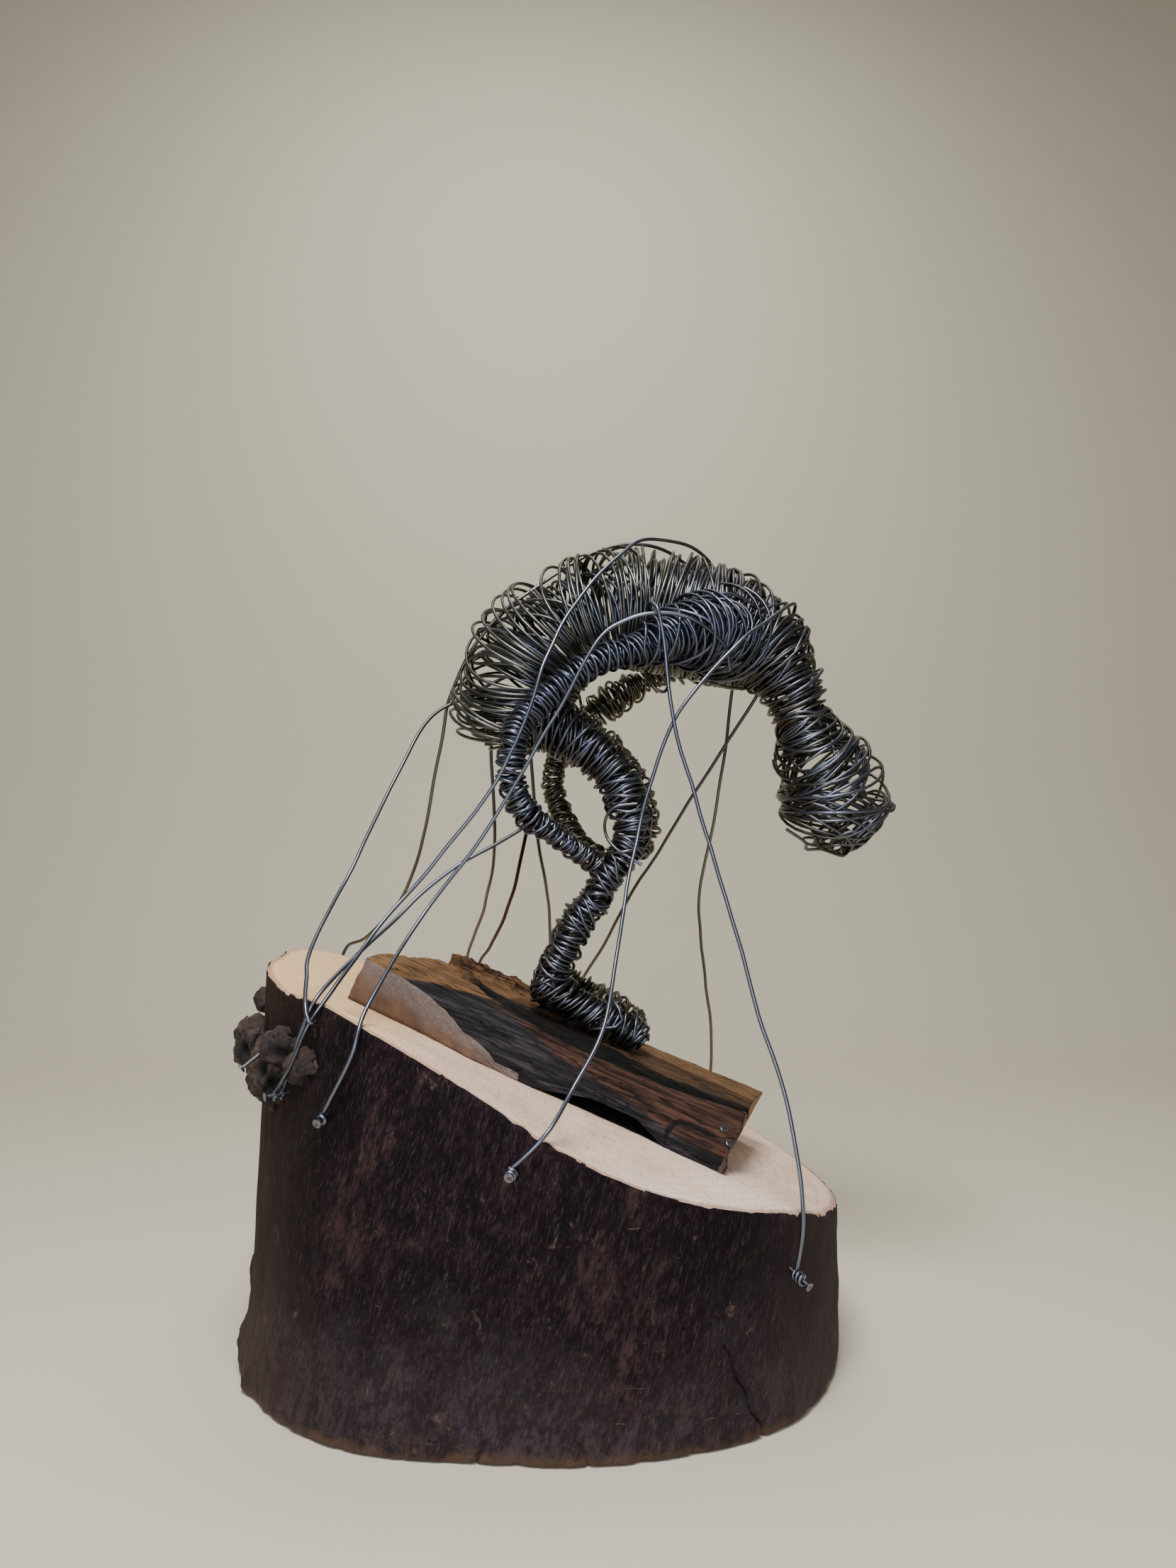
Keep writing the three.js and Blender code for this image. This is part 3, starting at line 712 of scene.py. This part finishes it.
def sawn_side_finish():
    """The plank's sawn stretch: grey-beige and speckled, stained orange along its foot."""
    finish = Finish("plank_sawn_side")
    specks = finish.grain(1300, 3.0, 0.6)
    clouds = finish.grain(45, 4.0)
    strokes = finish.grain(90, 3.0, stretch=(1, 1, 0.3), turn=(0, 0.3, 0))
    finish.colour = finish.mix(specks.band(0.36, 0.7), (88, 79, 77), (118, 106, 101))
    finish.lay(strokes.band(0.5, 0.75) * 0.3, (96, 78, 70))
    cut = LOG_HEIGHT * MM - CUT_FALL * finish.axis("X") + CUT_RISE * finish.axis("Y")
    rise = finish.axis("Z") - cut
    stain = 1 - (rise + (clouds - 0.5) * 0.02 + finish.axis("X") * 0.22).band(-0.011, 0.003)
    stained = finish.mix(strokes.band(0.35, 0.7), (70, 49, 34), (106, 78, 54))
    finish.lay(stain * 0.85, stained)
    return finish.feed(roughness=0.72 + specks * 0.1, normal=finish.bump(specks, 0.25, 0.0002))


def end_grain_finish():
    finish = Finish("plank_end")
    fine = finish.grain(700, 3.0, stretch=(1, 1, 0.3))
    finish.colour = finish.mix(fine.band(0.35, 0.7), (112, 84, 56), (172, 142, 104))
    nearness = 1 - (finish.axis("Y") + (fine - 0.5) * 0.01).band(-0.06, -0.045)
    finish.lay(nearness * 0.9, (30, 22, 21))
    return finish.feed(roughness=0.7 + fine * 0.15, normal=finish.bump(fine, 0.4, 0.0004))


PLANK_TOP = plank_top_finish()
PLANK_SAWN = sawn_side_finish()
PLANK_END = end_grain_finish()

# The log


def flat_cut(x, y):
    return LOG_HEIGHT - CUT_FALL * x + CUT_RISE * y


def cut_height(x, y):
    """Height of the log's cut, which is a little wavy along its near rim."""
    nearness = smooth_step(70, 115, -y)
    return flat_cut(x, y) - 8 * nearness * math.sin(2 * math.pi * (x + 25) / 260)


def log_reach(angle, height):
    """How far the log reaches from its middle: a squarish round, fluted, and flared at the left."""
    side = LOG_REACH_LEFT if math.cos(angle) < 0 else LOG_REACH_RIGHT
    across = abs(math.cos(angle) / side) ** LOG_SQUARENESS
    deep = abs(math.sin(angle) / LOG_HALF_DEPTH) ** LOG_SQUARENESS
    flutes = 1.6 * math.sin(5 * angle + 1) + 1.1 * math.sin(9 * angle + 2)
    left = max(0, -math.cos(angle + 0.2)) ** 4
    flare = 9 * left * math.exp(-height / 28)
    return (across + deep) ** (-1 / LOG_SQUARENESS) + flutes + flare


# The cut's rough height, by which the relief on the side is placed
MIDDLE_RISE = 150
LOG_COLUMNS = 440
SIDE_RINGS = 86
CUT_RINGS = 44
# Cracks up from the foot: angle at the foot, lean of the angle, top height, depth
CRACKS = [(-0.845, -0.2, 84, 3.5), (-1.78, 0.04, 12, 2.5), (-1.42, -0.05, 16, 1.6)]
# Lumps of root at the left of the foot: angle, height, size, how far they stand out
ROOTS = [(-2.93, 12, 12, 4), (-3.02, 34, 10, 3.5), (-2.75, 5, 9, 2.5), (-3.1, 52, 7, 2.5)]


def crack_angle(crack, height):
    foot, lean, top, _ = crack
    return foot + lean * height / top + 0.006 * math.sin(height / 4.1)


def gathered(angle, height):
    """The angle, with the mesh's columns drawn together at the cracks."""
    for crack in CRACKS:
        off = angle - crack_angle(crack, height)
        angle -= 0.82 * off * hump(off, 0.07)
    return angle


def side_relief(angle, height):
    """How far the log's side stands out from its round, in millimetres."""
    x, y = LOG_MEAN_REACH * math.cos(angle), LOG_MEAN_REACH * math.sin(angle)
    relief = 1.3 * rough(x, y, height * 0.4, 34) + 0.35 * rough(x, y, height * 0.15, 5, 1)
    relief -= 1.6 * max(0, rough(x, y, height * 0.8, 16, 2) - 0.45)
    for crack in CRACKS:
        off = LOG_MEAN_REACH * (angle - crack_angle(crack, height))
        open_to = smooth_step(crack[2], crack[2] * 0.35, height)
        relief -= crack[3] * open_to * hump(off, 0.35 + 0.5 * open_to)
    for centre, rise, size, stand in ROOTS:
        away = math.hypot(LOG_MEAN_REACH * (angle - centre), height - rise) / size
        relief += stand * hump(away, 1) * (1 + 0.5 * rough(x, y, height, 7, 3))
    # The foot's edge is worn and nibbled.
    foot = smooth_step(7, 0, height)
    return relief - foot * (0.9 + 1.5 * max(0, rough(x, y, 0, 9, 4)))


def cut_relief(x, y, share):
    """How far the cut stands up from its plane, with its chipped rim."""
    rim = smooth_step(0.965, 1, share)
    chip = max(0, rough(x, y, 0, 7, 5) - 0.12) + 1.4 * max(0, rough(x, y, 0, 19, 6) - 0.35)
    return 0.22 * rough(x, y, 0, 14, 7) - rim * (0.5 + 2.6 * chip)


def log_rows():
    """Reach and rise of each ring of the log's mesh, from the underside's middle to the cut's."""
    under = [(share, 0, 0) for share in (0, 0.3, 0.6, 0.85, 0.955, 0.982)]
    edge = [(0.992, 0.5, 0), (0.998, 1.4, 0), (1, 2.6, 0)]
    shares = np.linspace(0, 0.992, SIDE_RINGS)
    side = [(1, 4 * (1 - share) + 1.5 * share, share) for share in shares]
    rim = [(0.9975, 0, 0.9975), (0.991, 0, 1)]
    cut = [(share, 0, 1) for share in np.linspace(0.98, 0, CUT_RINGS)]
    return under + edge + side + rim + cut


def make_log():
    rows = log_rows()
    made = bmesh.new()
    bmesh.ops.create_grid(made, x_segments=LOG_COLUMNS, y_segments=len(rows) - 1, size=0.5)
    near_rim = made.verts.layers.float.new("near_rim")
    for vert in made.verts:
        u, v = vert.co.x + 0.5, vert.co.y + 0.5
        reach, base, rise = rows[round(v * (len(rows) - 1))]
        angle = math.pi / 2 + 2 * math.pi * (u % 1.0)
        angle -= 2 * math.pi * (angle > math.pi)
        rough_height = base + rise * MIDDLE_RISE
        if reach > 0.95:
            angle = gathered(angle, rough_height)
        out = reach * log_reach(angle, rough_height)
        on_side = smooth_step(0.955, 1, reach)
        out += on_side * side_relief(angle, rough_height)
        x, y = out * math.cos(angle), out * math.sin(angle)
        height = base + rise * (cut_height(x, y) - base)
        if rise > 0.9:
            height += smooth_step(0.9, 1, rise) * cut_relief(x, y, reach)
            vert[near_rim] = smooth_step(0.955, 0.99, reach)
        vert.co = (x, y, height)
    bmesh.ops.remove_doubles(made, verts=made.verts, dist=0.002)
    bmesh.ops.recalc_face_normals(made, faces=made.faces)
    for face in made.faces:
        centre = face.calc_center_median()
        share = math.hypot(centre.x, centre.y) / log_reach(math.atan2(centre.y, centre.x), centre.z)
        face.material_index = 1 if face.normal.z > 0.62 and centre.z > 60 and share < 0.995 else 0
    return mesh_from(made, "log_body")


keep(add_object("log_body", make_log(), [BARK, CUT]), "log_wood", "log")

# Burls: centre, half sizes, and the hollows in them as a direction and a size
BURLS = {
    "burl_top": ((-143, -41, 187), (5.5, 6, 6.5), []),
    "burl_left": ((-145, -56, 168), (10, 10, 13),
        [((-0.8, -0.5, 0.1), 0.3), ((-0.3, -0.9, -0.4), 0.3)]),
    "burl_big": (
        (-129, -77, 157), (13.5, 14, 18), [((-0.5, -0.82, 0.28), 0.36), ((0.15, -0.9, -0.45), 0.42)]
    ),
    "burl_right": ((-109, -100, 163), (11, 9, 10), [((0.1, -0.7, -0.7), 0.5)]),
    "burl_crown": ((-121, -87, 171), (14, 11, 10),
        [((0.2, -0.6, 0.75), 0.25), ((-0.2, -0.9, -0.4), 0.4)]),
}


def make_burl(name, centre, halves, hollows):
    made = bmesh.new()
    bmesh.ops.create_icosphere(made, subdivisions=5, radius=1)
    in_hollow = made.verts.layers.float.new("in_hollow")
    for vert in made.verts:
        way = vert.co.normalized()
        spot = [c + h * w for c, h, w in zip(centre, halves, way)]
        upright = (spot[0], spot[1], spot[2] * 0.55)
        furrow = hump(rough(*upright, 7, 3), 0.1)
        hole = sum(
            hump((way - Vector(hollow).normalized()).length, size) for hollow, size in hollows
        )
        swell = 1 + 0.24 * rough(*upright, 10, 1) + 0.09 * rough(*spot, 3.4, 2)
        swell -= 0.15 * furrow + 0.6 * hole
        # The share of painted shade that each spot of a furrow or hollow takes
        vert[in_hollow] = min(1, 0.55 * furrow + 1.3 * hole)
        vert.co = [c + h * w * swell for c, h, w in zip(centre, halves, way)]
    return mesh_from(made, name)


for burl_name, (burl_centre, burl_halves, burl_hollows) in BURLS.items():
    burl_mesh = make_burl(burl_name, burl_centre, burl_halves, burl_hollows)
    keep(add_object(burl_name, burl_mesh, [BURL]), "log_wood")

# The plank

EDGE_WIDTH = 34
EDGE_RISE = 26
EDGE_THICKNESS = 4
UNDERCUT = 15
CLEAR_OF_CUT = 7.5
END_LEAN = 9
CORNER_ROUNDING = 6
# Where the figure's heel stands, and how far the painted shadow round it reaches
HEEL = (12, -32)
HEEL_SHADOW_REACH = (34, 13)
PLANK_NEAR = [(-101, -40), (-73, -46), (-58, -51), (-39, -60), (-13, -66), (97, -80.5)]
PLANK_FAR = [(-64, 8), (131, 24)]
SAWN_SHARE = 0.45
GROOVE = [(-46, -3), (-36, -10), (-28, -22), (-12, -36), (3, -43.5), (28, -48.5), (65, -54),
          (112, -47)]
# The height on the round edge up to which it is charred
CHAR_TOP = [
    (-100, 33), (-69, 33), (-45, 31), (-27, 29), (-5, 24), (10, 18), (31, 16), (50, 12), (62, 9),
    (95, 6),
]
FLAKE_CRACK = [(59, -78), (61, -75), (69, -72.5), (79, -73.5), (91, -76)]
# The edge of the tan corner, as a distance in from the round edge
CORNER_EDGE = [(-101, 8), (-80, 9), (-63, 14), (-47, 19), (-27, 27), (-20, 40), (-10, 60)]


def between(corners, x):
    return float(np.interp(x, [c[0] for c in corners], [c[1] for c in corners]))


def along_run(corners, share):
    x = corners[0][0] + share * (corners[-1][0] - corners[0][0])
    return x, between(corners, x)


def edge_distance(x, y):
    return y + 65 - EDGE_SLOPE * (x + 13)


def crack_share(x, y):
    """How much of a spot lies in the crack that loosens a flake from the near edge."""
    off = y - between(FLAKE_CRACK, x) + 0.4 * rough(x, 0, 0, 4, 9)
    return hump(off, 0.75) * smooth_step(58, 60, x) * smooth_step(91, 84, x)


def splinter_share(x, y):
    """How much of a spot belongs to the splinter along the plank's far edge."""
    off = y - between(PLANK_FAR, x) + 9 - 2.5 * rough(x, 0, 0, 12, 4)
    return smooth_step(-1.2, 1.2, off) * smooth_step(-59, -56, x) * smooth_step(18, -20, x)


def plank_height(x, y):
    """Height of the plank's top over the cut: round edge, groove, splinter and split grain."""
    inward = max(0, edge_distance(x, y))
    round_edge = math.sqrt(1 - (1 - min(inward / EDGE_WIDTH, 1)) ** 2)
    back = 3 * smooth_step(EDGE_WIDTH, 64, inward)
    off_groove = y - between(GROOVE, x) - 1.6 * rough(x, 0, 0, 22, 1)
    groove_depth = 4.6 * smooth_step(-52, -30, x) * (1 + 0.6 * rough(x, y, 0, 9, 2))
    groove = groove_depth * hump(off_groove, 2.4 + 1.2 * smooth_step(40, -10, abs(x - 20)))
    frayed = max(0, rough(x * 0.25, inward, 0, 3, 3))
    ragged = 1.2 * smooth_step(-40, -20, x) * frayed * hump(off_groove, 9)
    splinter = 6.5 * splinter_share(x, y) * (1 + 0.45 * rough(x * 0.25, y, 0, 3, 5))
    grain = 0.45 * rough(x * 0.12, inward, 0, 3, 6) + 0.3 * rough(x, y, 0, 16, 7)
    crack = 2.2 * crack_share(x, y)
    edge = EDGE_THICKNESS + EDGE_RISE * round_edge
    return edge + back - groove - ragged + splinter + grain - crack


def make_plank():
    """A block whose top, sides and ends are worked, with its finishes as top, sawn and end."""
    made = bmesh.new()
    bmesh.ops.create_cube(made, size=1)
    for face in made.faces:
        face.material_index = 2 if face.normal.x > 0.5 else 1 if face.normal.x < -0.5 else 0
        if face.normal.y < -0.5:
            face.material_index = 3
    for axis, cuts in ((0, 170), (1, 96), (2, 9)):
        along = [e for e in made.edges if abs(e.verts[0].co[axis] - e.verts[1].co[axis]) > 0.5]
        bmesh.ops.subdivide_edges(made, edges=along, cuts=cuts, use_grid_fill=True)
    for face in made.faces:
        if face.material_index == 3:
            face.material_index = 1 if face.calc_center_median().x < SAWN_SHARE - 0.5 else 0
    layers = {name: made.verts.layers.float.new(name) for name in PLANK_MARKS}
    underneath = made.verts.layers.float.new("underneath")
    for vert in made.verts:
        u, v, w = (part + 0.5 for part in vert.co)
        v = v**1.35
        near, far = along_run(PLANK_NEAR, u), along_run(PLANK_FAR, u)
        x = near[0] + v * (far[0] - near[0])
        y = near[1] + v * (far[1] - near[1])
        top = plank_height(x, y)
        for name, mark in zip(PLANK_MARKS, plank_marks(x, y, top)):
            vert[layers[name]] = mark
        # Painted shade along the plank's lower edge and underside
        vert[underneath] = smooth_step(0.12, 0, w)
        undercut = UNDERCUT * (1 - w) * min(1, top / (EDGE_THICKNESS + EDGE_RISE))
        lean = END_LEAN * w * smooth_step(0.2, 0, u) - undercut * smooth_step(0.88, 1, u)
        inside = min(u, 1 - u, v, 1 - v)
        nibble = 0.7 * rough(x, y, 30 * w, 6, 8) * smooth_step(0.02, 0, inside)
        nibble *= smooth_step(1, 0.96, u)
        x, y = x + lean + nibble, y + 0.6 * nibble
        x -= CORNER_ROUNDING * smooth_step(0.95, 1, u) ** 2 * smooth_step(0.1, 0, v)
        # Under the near edge the plank stands clear of the cut.
        clear = CLEAR_OF_CUT * smooth_step(-8, 30, x) * smooth_step(62, 44, x)
        clear *= smooth_step(EDGE_WIDTH, 16, edge_distance(x, y))
        base = flat_cut(x, y) + GAP + clear
        vert.co = (x, y, base + w * max(2.5, top - clear + 0.2 * nibble))
    bmesh.ops.recalc_face_normals(made, faces=made.faces)
    return mesh_from(made, "plank_board")


PLANK_MARKS = ("over_char", "past_groove", "past_corner", "near_heel", "on_splinter", "in_crack")


def plank_marks(x, y, top):
    """Millimetres past the edges of the plank's bands, and how near the figure's heel is, for the
    painted shadow round it.
    """
    inward = edge_distance(x, y)
    over_char = top - between(CHAR_TOP, x) if inward < EDGE_WIDTH else 9
    near_heel = hump(math.hypot((x - HEEL[0]) / HEEL_SHADOW_REACH[0], (y - HEEL[1]) / HEEL_SHADOW_REACH[1]), 1)
    past_corner = inward - between(CORNER_EDGE, x)
    past_groove = y - between(GROOVE, x)
    return over_char, past_groove, past_corner, near_heel, splinter_share(x, y), crack_share(x, y)


plank_board = add_object("plank_board", make_plank(), [PLANK_TOP, PLANK_SAWN, PLANK_END])
keep(plank_board, "plank_wood", "plank")

# Nails


def nail_frame(start, way):
    """The nail's own way, and two ways square to it, the first as near to up as can be."""
    way = Vector(way).normalized()
    up = Vector((0, 0, 1))
    up = (up - way * up.dot(way)).normalized()
    return Vector(start), way, up, way.cross(up)


def make_nail(name, start, way, length):
    """A round nail with a flat head, whose top edge is broken."""
    start, way, _, _ = nail_frame(start, way)
    made = bmesh.new()
    shank = (NAIL_SHANK, NAIL_SHANK, -NAIL_IN_WOOD / 2)
    head = (NAIL_HEAD * 0.8, NAIL_HEAD, length - NAIL_HEAD_THICKNESS)
    for across_foot, across_top, foot in (shank, head):
        turned = bmesh.ops.create_cone(
            made, radius1=across_foot / 2, radius2=across_top / 2, depth=length - foot,
            segments=24, cap_ends=True,
        )
        bmesh.ops.translate(made, vec=(0, 0, (length + foot) / 2), verts=turned["verts"])
    top = [
        face for face in made.faces
        if face.normal.z > 0.9 and face.calc_center_median().z > length - 0.1
    ]
    rims = list({edge for face in top for edge in face.edges})
    soft = {"offset": 0.3, "offset_type": "OFFSET", "segments": 2, "profile": 0.5, "material": -1}
    bmesh.ops.bevel(made, geom=rims, affect="EDGES", **soft)
    turn = Vector((0, 0, 1)).rotation_difference(way)
    bmesh.ops.rotate(made, cent=(0, 0, 0), matrix=turn.to_matrix(), verts=made.verts)
    bmesh.ops.translate(made, vec=start, verts=made.verts)
    return mesh_from(made, name, smooth=False)


for nail_name, (nail_x, nail_y) in PLANK_NAILS.items():
    nail_z = flat_cut(nail_x, nail_y) + plank_height(nail_x, nail_y)
    NAILS[nail_name] = ((nail_x, nail_y, nail_z), PLANK_NAIL_OUT, NAIL_HEAD_THICKNESS / 2)
for nail_name, nail in NAILS.items():
    nail_mesh = make_nail("round_" + nail_name, *nail)
    keep(add_object("round_" + nail_name, nail_mesh, [NAIL_STEEL]), "nail_steel", nail_name)

# The figure


def shifted(stations, shift):
    return [(*(a + b for a, b in zip(station, shift)), *station[3:]) for station in stations]


def limb(stations, seed, pitch=2.6, tilt=0.3, spread=0.08, sway=(0.0, 0.0)):
    """Close groups of turns on one limb over darker ones, with a few crossing over them."""
    form = Form(stations)
    common = {"sway": sway, "spread": spread}
    return [
        wind(form, (0, 1), 1.3 * pitch, seed, size=0.62, tilt=tilt, **common),
        wind(form, (1, 0), pitch, seed + 1, size=0.86, tilt=tilt, **common),
        wind(
            form, (0.02, 0.98), 2.4 * pitch, seed + 2, size=1.04, tilt=2.3 * tilt, group=3, **common
        ),
    ]


def torso_layers():
    form = Form(TORSO, (True, False))
    loose = {"anchor": 0.75}
    inner = [
        wind(form, (0, 0.9), 4.2, 101, size=0.66, tilt=0.2, spread=0.08, **loose),
        wind(form, (0.85, 0), 3.4, 102, size=0.85, tilt=0.26, spread=0.08, **loose),
    ]
    outer = [
        wind(form, (0, 0.8), 3.2, 103, size=0.95, tilt=0.34, spread=0.07, sway=(0.1, 1.6), **loose),
        wind(
            form, (0.02, 0.32), 5, 105, size=1.05, tilt=0.3, spread=0.08, sway=(0.35, 1.6), **loose
        ),
        wind(form, (0.25, 0.8), 9.0, 106, size=0.98, tilt=0.45, spread=0.05, group=2.5, **loose),
    ]
    neck = [
        wind(form, (0.6, 0.98), 4.6, 104, size=0.72, tilt=0.35, spread=0.08),
        wind(form, (1, 0.58), 3.8, 107, size=0.92, tilt=0.4, spread=0.08, sway=(0.2, 1.6)),
        wind(form, (0.64, 1), 9.0, 108, size=1.0, tilt=0.8, spread=0.05, group=3),
    ]
    return {"wound_torso": inner, "wound_back": outer, "wound_neck": neck}


def head_strands():
    form = Form(HEAD, (False, True))
    return [
        wind(form, (0, 1), 5.5, 201, size=0.6, tilt=0.5, spread=0.1),
        wind(form, (0.1, 1), 5.5, 202, size=0.8, tilt=0.7, spread=0.08, group=4),
        wind(form, (1, 0), 5.2, 203, size=0.92, tilt=0.65, spread=0.06, sway=(0.3, 3.0), group=4),
        wind(form, (0, 1), 8.0, 204, size=0.98, tilt=0.9, spread=0.06, group=3),
        wind(form, (0.15, 0.95), 20.0, 205, size=1.0, tilt=1.2, spread=0.04, group=1.5),
    ]


# Single turns that stand off: over the head, at the knee, under the belly and at the hip
LOOSE_ENDS = [
    [(172, -30, 303), (182, -26, 295), (195, -16, 291), (199, -12, 294.5), (196, -8, 297),
     (184, 0, 300)],
    [(135, -20, 280), (146, -18, 273), (147, -18, 269), (156, -17, 269), (168, -16, 265.6),
     (169, -14, 270)],
    [(149, -26, 276), (154, -24, 269.5), (167, -20, 266), (173, -16, 271), (187, -10, 281),
     (191, -4, 292)],
    [(50, -35, 292), (38, -34, 290), (33.5, -30, 283.5), (34, -28, 275), (39.5, -31, 267.5),
     (53, -34, 259)],
    [(91, -14, 371), (92, -14, 364), (98.5, -16, 360.5), (109, -14, 359.5), (116, -10, 361),
     (121, -4, 367)],
    [(56, -10, 371), (61, -12, 360.5), (67, -12, 357), (70, -8, 362), (69, -4, 371)],
    [(-6, -34, 392), (-22, -22, 399), (-31.5, -14, 400), (-34, -8, 398), (-32, -4, 393),
     (-12, 8, 385)],
    [(-4, -36, 376), (-23, -26, 386), (-36, -16, 390), (-38, -9, 388), (-32, -4, 385),
     (-14, 6, 379)],
    [(22, 42, 363), (25, 45, 350), (28, 40, 342), (32, 36, 340), (35, 34, 347), (31, 32, 356)],
]

FAR_FOOT_SHIFT = (2, 34, -CUT_FALL * 2 + CUT_RISE * 34 + 2)
FIGURE = {
    **torso_layers(),
    "wound_head": head_strands(),
    "wound_near_arm": limb(NEAR_UPPER_ARM, 301, 2.9, 0.28, 0.1, (0.25, math.pi / 2))
    + limb(NEAR_FOREARM, 311, 2.9, spread=0.11),
    "wound_far_arm": limb(FAR_UPPER_ARM, 321, 3.5) + limb(FAR_FOREARM, 331, 3.3),
    "wound_near_leg": limb(NEAR_THIGH, 401, 2.9, spread=0.11)
    + limb(NEAR_SHIN, 411, 3.1, tilt=0.36, spread=0.14)
    + limb(NEAR_FOOT, 421, 3.3, tilt=0.3, spread=0.15, sway=(0.35, 0)),
    "wound_far_leg": limb(shifted(NEAR_THIGH, FAR_THIGH_SHIFT), 431)
    + limb(shifted(NEAR_SHIN, FAR_SHIN_SHIFT), 441, spread=0.1)
    + limb(shifted(NEAR_FOOT, FAR_FOOT_SHIFT), 451, tilt=0.2, sway=(0.35, 0)),
}
FIGURE["wound_loose_turns"] = [bend(points) for points in LOOSE_ENDS]
for part_name, strands in FIGURE.items():
    # The back's outer windings take the steel with the warmer painted reflection
    steel = WARM_LIT_STEEL if part_name == "wound_back" else STEEL
    keep(wire_piece(part_name, strands, WIRE, steel), "wire_steel", "wire_figure")


# Tethers


STEPS_PER_TURN = 10
TURN_LEAD = 2.1
TOUCHING = 0.05


def hitch(nail, along, turns):
    """Turns of a tether round a nail's shank, from its top."""
    start, way, up, aside = nail_frame(*NAILS[nail][:2])
    reach = NAIL_SHANK / 2 + TETHER_WIRE / 2 + TOUCHING
    centre = start + way * (NAILS[nail][2] * along)
    points = []
    for step in range(round(turns * STEPS_PER_TURN) + 1):
        angle = 2 * math.pi * step / STEPS_PER_TURN
        ring = up * math.cos(angle) + aside * math.sin(angle)
        points.append(centre + ring * reach + way * (TURN_LEAD * step / STEPS_PER_TURN))
    return [tuple(point) for point in points]


for seed, (tether_name, points) in enumerate(TETHERS.items(), 500):
    run = points + (hitch(*HITCHES[tether_name]) if tether_name in HITCHES else [])
    strand = bend(run, slack=0.8, seed=seed)
    finish = RUSTED if tether_name == "tether_elbow" else TETHER_STEEL
    piece = wire_piece("bent_" + tether_name, [strand], TETHER_WIRE, finish, sides=10)
    keep(piece, "tether_steel", tether_name)

# Floor, light and camera


def stage_finish():
    finish = Finish("studio_floor", roughness=0.9)
    finish.shader.inputs["Base Color"].default_value = tint(216, 210, 194)
    return finish.material


SWEEP_WIDTH = 6000
SWEEP_RUN = 8400
SWEEP_BEFORE = 3400
BEND_START = 900
BEND_RADIUS = 500


def make_sweep():
    """A floor that curves up into a backdrop behind the piece."""
    made = bmesh.new()
    bmesh.ops.create_grid(made, x_segments=1, y_segments=60, size=0.5)
    for vert in made.verts:
        run = (vert.co.y + 0.5) * SWEEP_RUN - SWEEP_BEFORE
        turn = min(max(run - BEND_START, 0) / BEND_RADIUS, math.pi / 2)
        beyond = max(run - BEND_START - BEND_RADIUS * math.pi / 2, 0)
        back = min(run, BEND_START) + BEND_RADIUS * math.sin(turn)
        vert.co = (vert.co.x * SWEEP_WIDTH, back, BEND_RADIUS * (1 - math.cos(turn)) + beyond)
    return mesh_from(made, "studio_sweep")


add_object("studio_sweep", make_sweep(), [stage_finish()])


def area_light(name, place, aim, size, power, colour):
    data = bpy.data.lights.new(name, "AREA")
    data.size = size
    data.energy = power
    data.color = colour
    lamp = new_object(name, data)
    lamp.location = place
    lamp.rotation_euler = (Vector(aim) - Vector(place)).to_track_quat("-Z", "Y").to_euler()


middle = (0.0, 0.0, 0.22)
area_light("top_light", (-0.1, -0.6, 1.05), middle, 0.35, 14, (1.0, 0.97, 0.92))
area_light("front_fill", (-0.2, -1.2, 0.35), middle, 0.5, 6.5, (0.8, 0.87, 1.0))
area_light("backdrop_light", (0.0, 0.5, 1.6), (0.0, 1.3, 0.5), 1.0, 10, (1.0, 0.96, 0.88))

world = bpy.data.worlds.new("studio")
world.use_nodes = True
surround = world.node_tree.nodes["Background"]
surround.inputs["Color"].default_value = tint(214, 210, 198)
surround.inputs["Strength"].default_value = 0.3
bpy.context.scene.world = world

camera_data = bpy.data.cameras.new("camera")
camera_data.sensor_width = 36
camera_data.lens = 26.28
camera_data.clip_start = 0.01
camera = new_object("camera", camera_data)
camera.location = (-0.0125, -0.649, 0.250)
camera.rotation_euler = (math.radians(94.85), math.radians(-0.59), math.radians(-3.4))
bpy.context.scene.camera = camera
